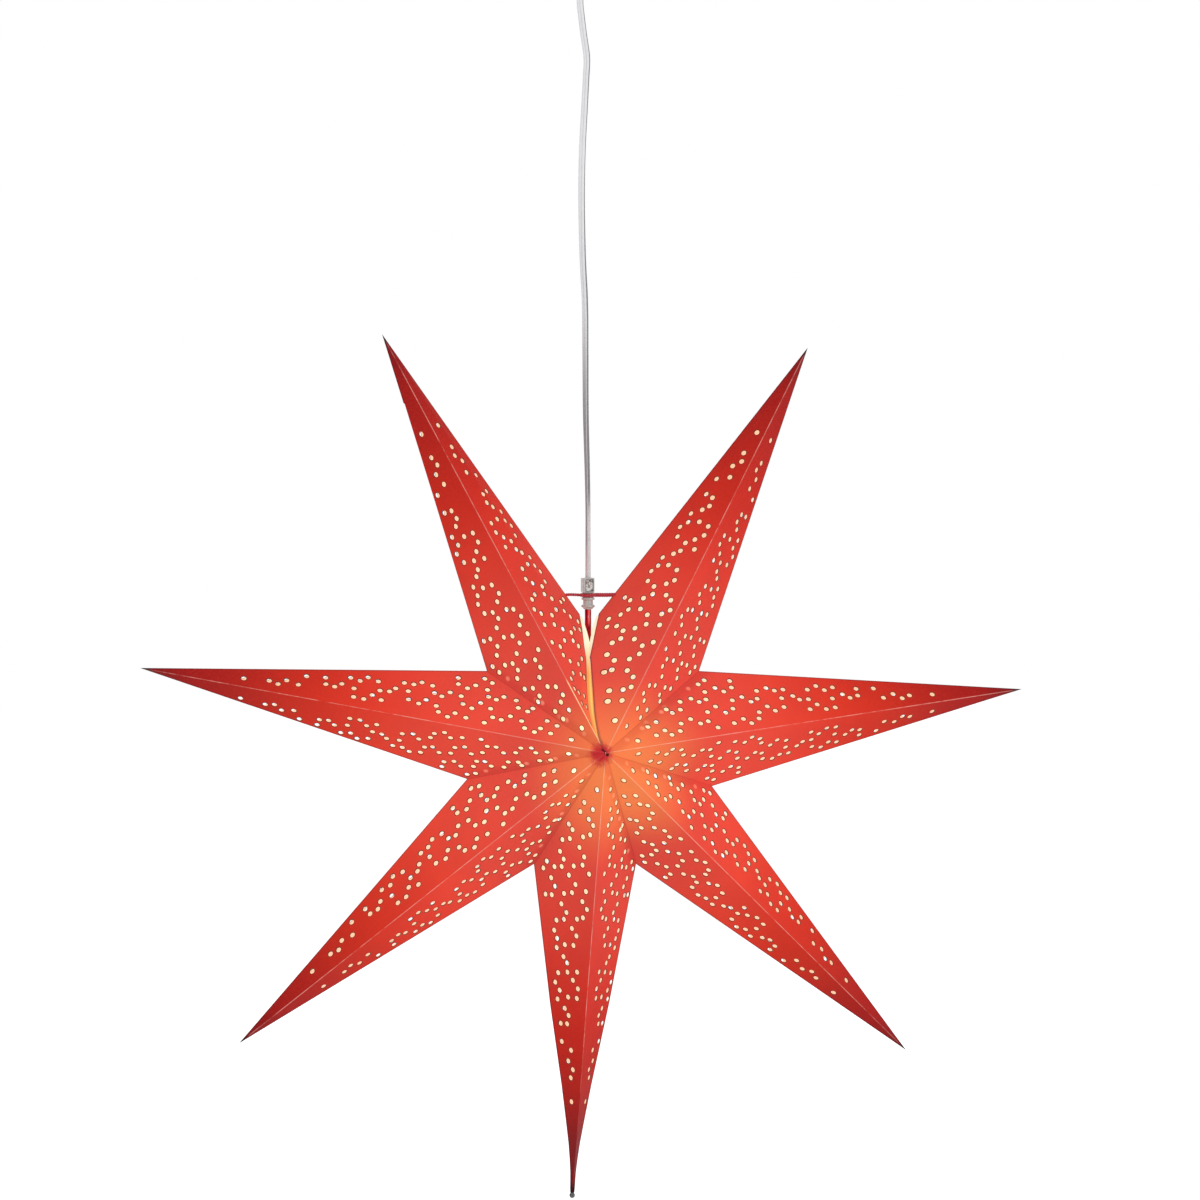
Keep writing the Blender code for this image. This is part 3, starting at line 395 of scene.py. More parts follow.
def swept(places, ring, turns=None, across=Vector((1, 0, 0))):
    """Carries a flat ring of (side, front) pairs along a route, turned by the given angles."""
    bm = bmesh.new()
    rows = []
    for at, place in enumerate(places):
        ahead = ahead_at(places, at)
        side = (across - ahead * across.dot(ahead)).normalized()
        if turns:
            side.rotate(Matrix.Rotation(turns[at], 3, ahead))
        front = ahead.cross(side)
        rows.append([bm.verts.new(place + side * x + front * y) for x, y in ring])
    for low, high in zip(rows, rows[1:]):
        edges = []
        for row in (low, high):
            for start, end in zip(row, [*row[1:], row[0]]):
                edges.append(bm.edges.get((start, end)) or bm.edges.new((start, end)))
        bmesh.ops.bridge_loops(bm, edges=edges)
    bm.faces.new(list(reversed(rows[0])))
    bm.faces.new(rows[-1])
    bmesh.ops.recalc_face_normals(bm, faces=bm.faces)
    return bm


def round_ring(radius, sides):
    angles = [math.tau * k / sides for k in range(sides)]
    return [(radius * math.cos(angle), radius * math.sin(angle)) for angle in angles]


def twin_ring(spread, lobe, reach, steps):
    """The outline of two cores side by side, each drawn as far round as its reach in degrees."""
    return [
        (side * (spread + x), side * y)
        for side in (1, -1)
        for x, y in arc(0, 0, lobe, -reach, reach, steps)
    ]


def only(items, kind):
    return [item for item in items if isinstance(item, kind)]


def cut_across(bm, places, outward, trimmed=False):
    """Cuts every face at planes that stand across one direction, and may trim what lies beyond."""
    for place in places:
        geom = [*bm.verts, *bm.edges, *bm.faces]
        bmesh.ops.bisect_plane(
            bm, geom=geom, dist=weld, plane_co=place, plane_no=outward, clear_outer=trimmed
        )


def face_towards(bm, outward):
    """Turns a sheet's faces to look the given way."""
    for face in bm.faces:
        face.normal_update()
    if sum(face.normal.dot(outward) for face in bm.faces) < 0:
        bmesh.ops.reverse_faces(bm, faces=bm.faces)


def mark(piece, title, values):
    """Writes a number on each vertex, for a finish to read."""
    piece.data.attributes.new(title, "FLOAT", "POINT").data.foreach_set("value", values)


# Small tools for finishes.
def node(tree, kind, values=None, **settings):
    """Adds a node, sets it up, and plugs in or sets the given sockets."""
    made = tree.nodes.new(kind)
    for key, value in settings.items():
        setattr(made, key, value)
    for socket, value in (values or {}).items():
        if isinstance(value, bpy.types.NodeSocket):
            tree.links.new(value, made.inputs[socket])
        else:
            made.inputs[socket].default_value = value
    return made


def step_on(kind, values, **settings):
    """Adds a node to the tree that its first linked value comes from."""
    given = next(value for value in values.values() if isinstance(value, bpy.types.NodeSocket))
    return node(given.id_data, kind, values, **settings)


def calc(operation, first, second=0.0, third=None, clamp=False):
    """One step of arithmetic."""
    values = {0: first, 1: second}
    if third is not None:
        values[2] = third
    return step_on("ShaderNodeMath", values, operation=operation, use_clamp=clamp).outputs[0]


def all_of(*masks):
    """The product of several masks."""
    whole = masks[0]
    for mask in masks[1:]:
        whole = calc("MULTIPLY", whole, mask)
    return whole


def most_of(*masks):
    """The largest of several masks."""
    whole = masks[0]
    for mask in masks[1:]:
        whole = calc("MAXIMUM", whole, mask)
    return whole


def blend(share, first, second, kind="MIX"):
    """Mixes two colours by a share from 0 to 1."""
    values = {0: share}
    for socket, colour in ((6, first), (7, second)):
        values[socket] = (*colour, 1.0) if isinstance(colour, tuple) else colour
    return step_on("ShaderNodeMix", values, data_type="RGBA", blend_type=kind).outputs[2]


def light(share, colour):
    """A colour of light that is there by a share."""
    return blend(share, (0, 0, 0), colour)


def fade(value, start, end, first=0.0, last=1.0):
    """A smooth step of a value from one number to another."""
    values = {0: value, 1: start, 2: end, 3: first, 4: last}
    return step_on("ShaderNodeMapRange", values, interpolation_type="SMOOTHSTEP").outputs[0]


def fade_out(value, start, end, first=1.0):
    return fade(value, start, end, first, 0.0)


def varied(cloud, first=0.0, last=1.0):
    """A number that wanders between two others with a cloud of noise."""
    return fade(cloud, 0.3, 0.7, first, last)


def ramp(value, stops):
    made = step_on("ShaderNodeValToRGB", {0: value})
    for at, (place, colour) in ((0, stops[0]), (1, stops[-1])):
        made.color_ramp.elements[at].position = place
        made.color_ramp.elements[at].color = (*colour, 1.0)
    for place, colour in stops[1:-1]:
        made.color_ramp.elements.new(place).color = (*colour, 1.0)
    return made.outputs[0]


def speckle(place, scale, detail, rough):
    """Noise around one half, at the given number of grains a metre."""
    values = {"Vector": place, "Scale": scale, "Detail": detail, "Roughness": rough}
    return step_on("ShaderNodeTexNoise", values).outputs[0]


def scaled_place(place, scale):
    """Stretches a place along its axes."""
    return step_on("ShaderNodeMapping", {"Vector": place, "Scale": scale}).outputs[0]


def axes_of(place):
    return step_on("ShaderNodeSeparateXYZ", {0: place}).outputs


def distance(place, spot):
    values = {0: place, 1: tuple(spot)}
    return step_on("ShaderNodeVectorMath", values, operation="DISTANCE").outputs["Value"]


def from_axis(place, off=(0.0, 0.0)):
    """How far a spot lies from a line front to back through the star's middle, or beside it."""
    flat = scaled_place(place, (1.0, 0.0, 1.0))
    return distance(flat, (star_middle.x + off[0], 0.0, star_middle.z + off[1]))


def object_place(tree):
    return node(tree, "ShaderNodeTexCoord").outputs["Object"]


def number_on(shader, title):
    """A number that a piece's vertices hold."""
    return node(shader.id_data, "ShaderNodeAttribute", attribute_name=title).outputs["Fac"]


def sheet_place(shader, title):
    """Two numbers of a card's own map, in metres."""
    where = axes_of(node(shader.id_data, "ShaderNodeUVMap", uv_map=title).outputs[0])
    return where[0], where[1]


def plug(target, **sockets):
    for title, value in sockets.items():
        target.id_data.links.new(value, target.inputs[title.replace("_", " ")])


def effect(name, inputs, outputs):
    """Starts a shared effect with named inputs and outputs."""
    group = bpy.data.node_groups.new(name, "ShaderNodeTree")
    for title, value in inputs.items():
        socket = group.interface.new_socket(title, in_out="INPUT", socket_type="NodeSocketFloat")
        socket.default_value = value
    for title in outputs:
        group.interface.new_socket(title, in_out="OUTPUT", socket_type="NodeSocketFloat")
    given = group.nodes.new("NodeGroupInput").outputs
    return group, given, group.nodes.new("NodeGroupOutput"), object_place(group)


def use(shader, group, **values):
    """Places a shared effect in a material with its own values."""
    made = shader.id_data.nodes.new("ShaderNodeGroup")
    made.node_tree = group
    for title, value in values.items():
        made.inputs[title.replace("_", " ")].default_value = value
    return made.outputs


def card_fibre_effect():
    """Pressed fibres, cloudy print and the slow waves of thin card."""
    group, given, result, place = effect(
        "card_fibre", {"Fibre size": 1500.0, "Cloud size": 26.0}, ("Shade", "Cloud", "Height")
    )
    fine = speckle(place, given["Fibre size"], 4.0, 0.6)
    long = speckle(scaled_place(place, (1.0, 0.25, 2.4)), 420.0, 3.0, 0.65)
    both = calc("MULTIPLY_ADD", long, 0.6, calc("MULTIPLY", fine, 0.4))
    cloud = speckle(place, given["Cloud size"], 2.0, 0.45)
    wave = speckle(place, 9.0, 1.0, 0.3)
    plug(result, Shade=both, Cloud=cloud, Height=calc("MULTIPLY_ADD", wave, 14.0, both))
    return group


def moulded_effect():
    """The faint orange peel, flow and haze of moulded plastic."""
    group, given, result, place = effect(
        "moulded_skin", {"Peel size": 900.0, "Haze size": 120.0}, ("Height", "Haze", "Flow")
    )
    peel = speckle(place, given["Peel size"], 2.0, 0.5)
    haze = speckle(place, given["Haze size"], 4.0, 0.6)
    flow = speckle(scaled_place(place, (1.0, 1.0, 0.2)), 260.0, 2.0, 0.5)
    plug(result, Height=peel, Haze=haze, Flow=flow)
    return group


def metal_effect():
    """Fine rubbed lines and dull spots on metal."""
    group, given, result, place = effect(
        "rubbed_metal", {"Line size": 700.0, "Spot size": 160.0}, ("Height", "Dull", "Tint")
    )
    drawn = scaled_place(place, (0.15, 0.15, 3.0))
    lines = speckle(drawn, given["Line size"], 3.0, 0.6)
    spots = speckle(place, given["Spot size"], 4.0, 0.65)
    tint = speckle(place, 60.0, 2.0, 0.5)
    plug(result, Height=lines, Dull=fade(spots, 0.45, 0.75), Tint=tint)
    return group


def dust_effect():
    """Pale dust where a surface looks up, broken into patches."""
    group, given, result, place = effect("settled_dust", {"Amount": 0.4}, ("Mask",))
    up = axes_of(node(group, "ShaderNodeNewGeometry").outputs["Normal"])[2]
    patches = fade(speckle(place, 340.0, 5.0, 0.7), 0.35, 0.7, 0.35, 1.0)
    plug(result, Mask=all_of(fade(up, 0.25, 0.95), patches, given["Amount"]))
    return group


card_fibre = card_fibre_effect()
moulded_skin = moulded_effect()
rubbed_metal = metal_effect()
settled_dust = dust_effect()


def finish(name, plain):
    """A material with the given plain values on its shader, and its place in the object."""
    look = bpy.data.materials.new(name)
    look.use_nodes = True
    tree = look.node_tree
    shader = tree.nodes["Principled BSDF"]
    for socket, value in plain.items():
        shader.inputs[socket].default_value = value
    return look, shader, object_place(tree)


def cover(shader, colour, rough, height, depth, strength, shine=None):
    """Plugs in a finish's colour, roughness and relief, and the light that it gives off."""
    bump = step_on("ShaderNodeBump", {"Height": height, "Distance": depth, "Strength": strength})
    plug(shader, Base_Color=colour, Roughness=rough, Normal=bump.outputs[0])
    if shine:
        plug(shader, Emission_Color=shine)


# Light through the holes of a flap under the card: down the valley, out from it, and how much.
under_spots = (
    (0.0225, 0.0034, 0.55), (0.0400, 0.0044, 0.85), (0.0470, 0.0030, 0.40),
    (0.0640, 0.0048, 1.0), (0.0700, 0.0036, 0.45), (0.0985, 0.0050, 0.90),
)

# Where the bulb's warm light is brightest on the card.
glow_place = (0.0190, 0.0480, -0.6860)

# The middle of the stretch of ridge beside the seam that has a painted highlight and a painted
# glow, as if lit from behind.
highlit_ridge_spot = (-0.0127, -0.0554, -0.6367)

# The middle of the star's folds, drawn in at the front, beside the star's own middle.
drawn_in_off = (-0.0032, -0.0015)


def lamp_glow(place):
    """How the bulb lights the card: broadly over the middle, and strongly right before the bulb."""
    spot = axes_of(place)
    both_ways = {0: spot[0], 1: calc("ABSOLUTE", spot[1]), 2: spot[2]}
    folded = step_on("ShaderNodeCombineXYZ", both_ways).outputs[0]
    broad = fade_out(distance(place, star_middle), 0.045, 0.235)
    return broad, fade_out(distance(folded, glow_place), 0.012, 0.082)


def spots_of_light(shader):
    """The holes of the flap under a card, where they glow through it."""
    down, over = sheet_place(shader, "under")
    spots = []
    for place_down, place_over, strength in under_spots:
        off = {0: calc("SUBTRACT", down, place_down), 1: calc("SUBTRACT", over, place_over)}
        step = step_on("ShaderNodeCombineXYZ", off).outputs[0]
        away = step_on("ShaderNodeVectorMath", {0: step}, operation="LENGTH").outputs["Value"]
        spots.append(fade_out(away, 0.0009, 0.0026, strength))
    return over, most_of(*spots)


def red_card():
    """Printed red card, seen from outside, with the bulb's light coming through it."""
    plain = {"Emission Strength": 1.0, "Specular IOR Level": 0.10}
    look, shader, place = finish("red_card", plain)
    along, out = sheet_place(shader, "sheet")
    valley, side = sheet_place(shader, "folds")
    over, spots = spots_of_light(shader)
    fibre = use(shader, card_fibre, Fibre_size=1500.0, Cloud_size=30.0)
    near, glow = lamp_glow(place)
    spot = axes_of(place)

    # The print's red, with painted shade that deepens it towards the tip, and painted shade over
    # the flap under the card and in the crease of the valley.
    red = blend(fade(along, 0.010, 0.215), (0.36, 0.0070, 0.0065), (0.80, 0.030, 0.013))
    red = blend(varied(fibre["Cloud"], 0.0, 0.20), red, (0.46, 0.010, 0.009))
    red = blend(fade(fibre["Shade"], 0.42, 0.62, 0.0, 0.16), red, (0.84, 0.055, 0.030))
    flap = fade_out(over, 0.0030, 0.0100, 0.20)
    flap = most_of(flap, fade_out(valley, 0.0002, 0.0011, 0.30))
    red = blend(flap, red, (0.40, 0.006, 0.024))

    # The ridge: worn pale in places, and a painted highlight along the fold, strongest where the
    # bulb's painted glow is and weakest on the lowest point.
    rubbed = fade(speckle(place, 60.0, 4.0, 0.7), 0.32, 0.62)
    rubbed = most_of(rubbed, fade(near, 0.30, 0.80, 0.0, 0.62))
    low = fade(spot[2], -0.950, -0.880, 0.12, 1.0)
    ridge = all_of(rubbed, low, fade_out(out, 0.00024, 0.00062))
    red = blend(calc("MULTIPLY", ridge, 0.85), red, (0.90, 0.36, 0.30))

    # Dark outer edges, and painted shade on the tips and on the lowest part of the star.
    red = blend(fade_out(side, 0.0003, 0.0014, 0.66), red, (0.11, 0.005, 0.009))
    tip_and_foot_shade = fade_out(along, 0.006, 0.045, 0.42)
    tip_and_foot_shade = most_of(tip_and_foot_shade, fade_out(spot[2], -0.995, -0.925, 0.55))
    red = blend(tip_and_foot_shade, red, (0.070, 0.004, 0.009))
    red = blend(fade_out(along, 0.0035, 0.0120, 0.95), red, (0.030, 0.004, 0.006))

    # Light through the card: over the middle, at the flap's holes, and a little on the side points.
    shaded = calc("SUBTRACT", 1.0, flap)
    orange = light(calc("MULTIPLY", glow, shaded), (0.16, 0.150, 0.022))
    lit = light(calc("MULTIPLY", near, shaded), (0.10, 0.052, 0.041))
    shine = blend(1.0, orange, lit, "ADD")
    shine = blend(1.0, shine, light(spots, (0.24, 0.16, 0.10)), "ADD")
    beside = calc("ABSOLUTE", calc("SUBTRACT", spot[0], star_middle.x))
    open_out = all_of(
        fade(beside, 0.03, 0.12),
        fade(along, 0.045, 0.130),
        fade(spot[2], -0.66, -0.56, 1.0, 0.25),
    )
    shine = blend(1.0, shine, light(open_out, (0.085, 0.009, 0.002)), "ADD")

    # A painted highlight and glow on a stretch of ridge, painted shade on the folds drawn in round
    # the middle, and a painted shadow at their root.
    ridge_highlight = fade_out(distance(place, highlit_ridge_spot), 0.0215, 0.0275)
    ridge_highlight = calc("MULTIPLY", ridge_highlight, fade_out(out, 0.00045, 0.00085))
    streak = speckle(scaled_place(place, (1.0, 0.25, 1.0)), 380.0, 4.0, 0.65)
    drawn_in = calc("MULTIPLY_ADD", streak, -0.010, from_axis(place, drawn_in_off))
    folds = fade_out(drawn_in, -0.0010, 0.0065, 0.90)
    root_shadow = fade(along, 0.3545, 0.3553)
    for mask, colour, glows in (
        (ridge_highlight, (0.90, 0.50, 0.28), (0.34, 0.24, 0.12)),
        (folds, (0.50, 0.006, 0.026), (0.10, 0.004, 0.010)),
        (root_shadow, (0.05, 0.008, 0.006), (0.0, 0.0, 0.0)),
    ):
        red = blend(mask, red, colour)
        shine = blend(mask, shine, glows)
    rough = varied(fibre["Shade"], 0.50, 0.66)
    cover(shader, red, rough, fibre["Height"], 0.00012, 0.55, shine)
    return look


def punched_rim():
    """The dark ring round each hole, with a painted glow where it lies near the bulb."""
    look, shader, place = finish("punched_rim", {"Emission Strength": 1.0})
    fibre = use(shader, card_fibre, Fibre_size=2600.0, Cloud_size=300.0)
    brown = blend(fade(fibre["Cloud"], 0.35, 0.65), (0.034, 0.012, 0.004), (0.085, 0.024, 0.008))
    shine = blend(lamp_glow(place)[1], (0.01, 0.003, 0.001), (0.10, 0.050, 0.008))
    rough = varied(fibre["Shade"], 0.6, 0.8)
    cover(shader, brown, rough, fibre["Height"], 0.00008, 0.6, shine)
    return look


def unprinted(fibre):
    """The card's own cream."""
    return blend(varied(fibre["Cloud"]), (0.60, 0.52, 0.38), (0.68, 0.60, 0.46))


def cream_card():
    """The unprinted side of the card, lit by the bulb inside."""
    look, shader, place = finish("cream_card", {"Emission Strength": 1.0})
    fibre = use(shader, card_fibre, Fibre_size=1300.0, Cloud_size=24.0)
    grain = fade(fibre["Shade"], 0.45, 0.65, 0.0, 0.3)
    cream = blend(grain, unprinted(fibre), (0.50, 0.42, 0.29))
    stops = ((0.0, (0.54, 0.29, 0.225)), (0.5, (0.60, 0.335, 0.28)), (1.0, (0.64, 0.41, 0.30)))
    shine = ramp(lamp_glow(place)[0], stops)
    # Painted shade round the star's axis, where the drawn-in middle lies unlit.
    closed = fade_out(from_axis(place), 0.0070, 0.0100)
    cream = blend(closed, cream, (0.16, 0.008, 0.010))
    shine = blend(closed, shine, (0.01, 0.001, 0.001))
    rough = varied(fibre["Shade"], 0.62, 0.78)
    cover(shader, cream, rough, fibre["Height"], 0.00012, 0.5, shine)
    return look


def hem_card():
    """The strip at the free edges, with a painted glow: orange at its fold near the bulb, yellow
    beyond, cream above, and painted shade round the star's axis.
    """
    plain = {"Emission Strength": 1.0, "Specular IOR Level": 0.2}
    look, shader, place = finish("hem_card", plain)
    fibre = use(shader, card_fibre, Fibre_size=1300.0, Cloud_size=60.0)
    # Painted glow from the bulb, in the strip's colour as well as in the light it gives off.
    low = fade_out(distance(place, star_middle), 0.060, 0.082)
    cream_with_painted_light = blend(low, unprinted(fibre), (0.55, 0.25, 0.08))
    across = fade(sheet_place(shader, "sheet")[0], 0.15, 0.65)
    lit = blend(across, (0.44, 0.17, 0.05), (0.64, 0.50, 0.13))
    shine = blend(low, (0.52, 0.48, 0.34), lit)
    # Painted shade round the star's axis, where the drawn-in middle lies unlit.
    closed = fade_out(from_axis(place), 0.0085, 0.0115)
    cream_with_painted_light = blend(closed, cream_with_painted_light, (0.20, 0.010, 0.010))
    shine = blend(closed, shine, (0.03, 0.002, 0.003))
    rough = varied(fibre["Shade"], 0.62, 0.78)
    cover(shader, cream_with_painted_light, rough, fibre["Height"], 0.00010, 0.5, shine)
    return look


def cut_card():
    """The cut edge of the card: pale core with red drawn over it, and a painted glow near the bulb.
    """
    look, shader, place = finish("cut_card_edge", {"Emission Strength": 1.0})
    fibre = use(shader, card_fibre, Fibre_size=3200.0, Cloud_size=500.0)
    core = blend(fade(fibre["Cloud"], 0.40, 0.62), (0.17, 0.030, 0.020), (0.10, 0.012, 0.010))
    shine = blend(lamp_glow(place)[1], (0.01, 0.003, 0.002), (0.05, 0.020, 0.008))
    rough = varied(fibre["Shade"], 0.7, 0.85)
    cover(shader, core, rough, fibre["Height"], 0.00006, 0.5, shine)
    return look


def plastic(name, colour, second, roughness, peel=0.00002, dust=0.25):
    """Moulded plastic with haze, flow and a little dust on top."""
    look, shader, _ = finish(name, {"IOR": 1.46})
    skin = use(shader, moulded_skin, Peel_size=1100.0, Haze_size=150.0)
    dusty = use(shader, settled_dust, Amount=dust)["Mask"]
    shade = blend(fade(skin["Flow"], 0.32, 0.68), colour, second)
    shade = blend(dusty, shade, (0.62, 0.60, 0.56))
    hazy = varied(skin["Haze"], roughness - 0.06, roughness + 0.08)
    rough = calc("MULTIPLY_ADD", dusty, 0.35, hazy, clamp=True)
    cover(shader, shade, rough, skin["Height"], peel, 0.4)
    return look


def metal(name, colour, dull, roughness):
    """Turned or pressed metal with rubbed lines and dull spots."""
    look, shader, _ = finish(name, {"Metallic": 1.0})
    rub = use(shader, rubbed_metal, Line_size=900.0, Spot_size=240.0)
    tone = blend(rub["Dull"], colour, dull)
    tone = blend(varied(rub["Tint"], 0.0, 0.25), tone, dull)
    rough = calc("MULTIPLY_ADD", rub["Dull"], 0.22, roughness)
    cover(shader, tone, rough, rub["Height"], 0.00002, 0.35)
    return look


def flex_skin():
    """Pale clear cable skin over two stranded cores, with painted shade in the groove between them
    and on its rims.
    """
    look, shader, _ = finish("clear_flex", {"IOR": 1.5})
    across, deep, length = (number_on(shader, title) for title in ("across", "deep", "length"))
    skin = use(shader, moulded_skin, Peel_size=600.0, Haze_size=90.0)
    lay = calc("MULTIPLY_ADD", across, 5200.0, calc("MULTIPLY", length, 900.0))
    strands = calc("SINE", lay)
    core = fade(strands, -0.6, 0.9, 0.0, 0.35)
    shade = blend(core, (0.84, 0.84, 0.855), (0.74, 0.74, 0.755))
    shade = blend(varied(skin["Haze"], 0.0, 0.4), shade, (0.88, 0.88, 0.89))
    # Painted shade in the groove between the cores, and along the rims, on one side or both,
    # changing down the flex as it turns.
    groove = fade_out(calc("ABSOLUTE", across), 0.00005, 0.00040, 0.45)
    shade = blend(groove, shade, (0.45, 0.45, 0.46))
    right = all_of(
        fade(across, 0.00200, 0.00235, 0.0, 0.92),
        fade(length, 0.400, 0.430, 1.0, 0.30),
    )
    deep_side_shade = all_of(
        fade(deep, 0.00110, 0.00150, 0.0, 0.80),
        fade(length, 0.25, 0.36),
        fade(length, 0.435, 0.468, 0.95, 0.20),
    )
    left = all_of(
        fade_out(deep, -0.00160, -0.00130, 0.55),
        fade(length, 0.26, 0.40),
        fade(length, 0.385, 0.415, 1.0, 0.10),
    )
    shade = blend(most_of(deep_side_shade, left, right), shade, (0.13, 0.13, 0.135))
    height = calc("MULTIPLY_ADD", strands, 0.2, skin["Height"])
    cover(shader, shade, varied(skin["Haze"], 0.20, 0.34), height, 0.00003, 0.4)
    return look


def red_tube_skin():
    """Clear red tube over the flex, with a painted highlight: pale where it faces out on its upper
    part, deep red where the eye grazes it.
    """
    plain = {"IOR": 1.5, "Emission Strength": 1.0, "Specular IOR Level": 0.06}
    look, shader, place = finish("red_tube", plain)
    skin = use(shader, moulded_skin, Peel_size=500.0, Haze_size=120.0)
    turned_away = node(shader.id_data, "ShaderNodeLayerWeight", {"Blend": 0.5}).outputs["Facing"]
    # A painted highlight and a little painted glow, where the tube faces the eye, on its upper part
    # only.
    highlight_height = fade(axes_of(place)[2], -0.5790, -0.5720)
    middle = calc("MULTIPLY", fade_out(turned_away, 0.01, 0.13), highlight_height)
    shade = blend(fade(skin["Flow"], 0.32, 0.68), (0.22, 0.001, 0.006), (0.30, 0.002, 0.009))
    shade = blend(middle, shade, (0.80, 0.10, 0.09))
    shine = blend(middle, (0.03, 0.0, 0.002), (0.16, 0.02, 0.02))
    cover(shader, shade, varied(skin["Haze"], 0.12, 0.24), skin["Height"], 0.000015, 0.3, shine)
    return look


def jaw_skin():
    """Clear plastic over a wedge of pressed teeth: pale and dark flecks."""
    look, shader, place = finish("jaw_plastic", {"IOR": 1.46})
    skin = use(shader, moulded_skin, Peel_size=900.0, Haze_size=150.0)
    flecks = fade(speckle(place, 620.0, 2.0, 0.6), 0.44, 0.56)
    shade = blend(flecks, (0.20, 0.18, 0.15), (0.74, 0.73, 0.70))
    cover(shader, shade, varied(skin["Haze"], 0.3, 0.45), skin["Height"], 0.00003, 0.4)
    return look


def thread_skin():
    """Twisted red cotton: plies, loose fibres and darker hollows."""
    look, shader, place = finish("red_string", {"Sheen Weight": 0.35, "Sheen Roughness": 0.5})
    fuzz = speckle(place, 4200.0, 5.0, 0.7)
    lay = speckle(scaled_place(place, (0.35, 1.0, 1.0)), 2600.0, 3.0, 0.6)
    shade = blend(fade(fuzz, 0.35, 0.65), (0.32, 0.004, 0.018), (0.56, 0.007, 0.034))
    shade = blend(fade(lay, 0.4, 0.7, 0.0, 0.4), shade, (0.62, 0.10, 0.09))
    cover(shader, shade, varied(fuzz, 0.7, 0.9), calc("ADD", fuzz, lay), 0.00012, 0.7)
    return look


def glowing_glass():
    """The bulb's frosted globe, lit from inside."""
    look, shader, place = finish("bulb_glass", {"Emission Strength": 1.0, "Coat Weight": 0.6})
    height = fade(axes_of(place)[2], -0.700, -0.634)
    frost = speckle(place, 900.0, 3.0, 0.6)
    stops = ((0.0, (1.0, 0.74, 0.40)), (0.45, (1.0, 0.86, 0.58)), (1.0, (0.75, 0.48, 0.22)))
    body = blend(fade(frost, 0.35, 0.65), (0.80, 0.77, 0.70), (0.88, 0.85, 0.78))
    rough = varied(frost, 0.25, 0.4)
    cover(shader, body, rough, frost, 0.00003, 0.3, ramp(height, stops))
    return look


def stem_skin():
    """Clear glass with fine seeds in it."""
    look, shader, place = finish("stem_glass", {"Transmission Weight": 1.0, "IOR": 1.5})
    seeds = speckle(place, 1500.0, 2.0, 0.5)
    body = blend(varied(seeds), (0.90, 0.92, 0.90), (0.97, 0.96, 0.94))
    cover(shader, body, varied(seeds, 0.02, 0.08), seeds, 0.00002, 0.2)
    return look


def hot_wire():
    """The glowing coil and its duller legs."""
    look, shader, place = finish("filament", {"Emission Strength": 1.0})
    turns = speckle(scaled_place(place, (6.0, 1.0, 1.0)), 1800.0, 2.0, 0.5)
    coils = fade(turns, 0.35, 0.65)
    body = blend(coils, (0.25, 0.2, 0.15), (0.5, 0.4, 0.3))
    shine = blend(coils, (1.0, 0.55, 0.18), (1.0, 0.85, 0.50))
    plug(shader, Base_Color=body, Emission_Color=shine, Roughness=varied(turns, 0.3, 0.5))
    return look


# Star cards.
card_maps = ("sheet", "folds", "under")
rim_slot, inside_slot, hem_slot = 1, 2, 3

# The finish of each slot of the thickened sheet: four for the outer side, four inside, four edges.
final_slots = (0, 1, 2, 5, 2, 2, 2, 5, 3, 4, 3, 5)

# How far from a tip the card is too narrow to look into, and shows its print alone.
closed_tip = 0.009
pinched_closed_tip = 0.016


def tip_of(index):
    return star_middle + towards(point_bearings[index]) * point_reaches[index]


def apex_of(side):
    return star_middle + Vector((0, side * apex_depth, 0))


def edge_number(index, turn):
    """The number of the valley on one side of a card, and whether it is the open seam."""
    number = index if turn < 0 else index + 1
    return number, number in (0, card_count)


def valley_axes(number):
    """Directions along and across a valley; the first and the last number are the seam."""
    bearing = seam_bearing if number == card_count else seam_bearing - 360
    if 0 < number < card_count:
        bearing = valley_corners[number - 1][0]
    return towards(bearing), towards(bearing + 90)


def valley_corner(number):
    bearing, out = valley_corners[number - 1]
    return star_middle + towards(bearing) * out


def seam_corner(side):
    along, across = valley_axes(card_count)
    return star_middle + along * seam_corner_radius + across * seam_half_gaps[side] * side


def seam_bend(turn, side):
    """Where the free edge of an end card bends away from the seam."""
    along, across = valley_axes(card_count)
    place = star_middle + along * seam_bend_radius + across * seam_bend_half_gap * turn
    return place + Vector((0, side * seam_bend_depth, 0))


def between(table, value):
    """The number that a short table gives at a value, straight between its rows."""
    for (low, first), (high, second) in zip(table, table[1:]):
        if value <= high:
            return first + (second - first) * max(0.0, value - low) / (high - low)
    return table[-1][1]


def lie_at_seam(index, place):
    """Where a spot of an end card's front goes as the seam's free edges settle."""
    if index not in end_cards or place.y > star_middle.y - weld:
        return place
    out = place - star_middle
    bearing = math.degrees(math.atan2(out.x, -out.z))
    beyond = (bearing - point_bearings[index] + 180) % 360 - 180
    if (beyond if index else -beyond) < 0.01:
        return place
    reach = math.hypot(out.x, out.z)
    apex = apex_of(-1)
    ridge = (tip_of(index) - apex).normalized()
    foot = apex + ridge * (place - apex).dot(ridge)
    span = place - foot
    if span.length < weld:
        return place
    if index == 0:
        inward = ridge.cross(span).normalized() * span.length
        if inward.y < 0:
            inward.negate()
        angle = math.radians(between(turned_in, reach))
        return foot + span * math.cos(angle) + inward * math.sin(angle)
    whole = (seam_bearing - point_bearings[index] + 180) % 360 - 180
    share = min(1.0, abs(beyond / whole)) ** 2.2
    return place - Vector((between(lapped_over, reach) * share, 0, 0))


def from_line(place, start, end):
    """How far a flat place lies from the line through two others."""
    step = (end - start).normalized()
    return abs((place.x - start.x) * step.y - (place.y - start.y) * step.x)


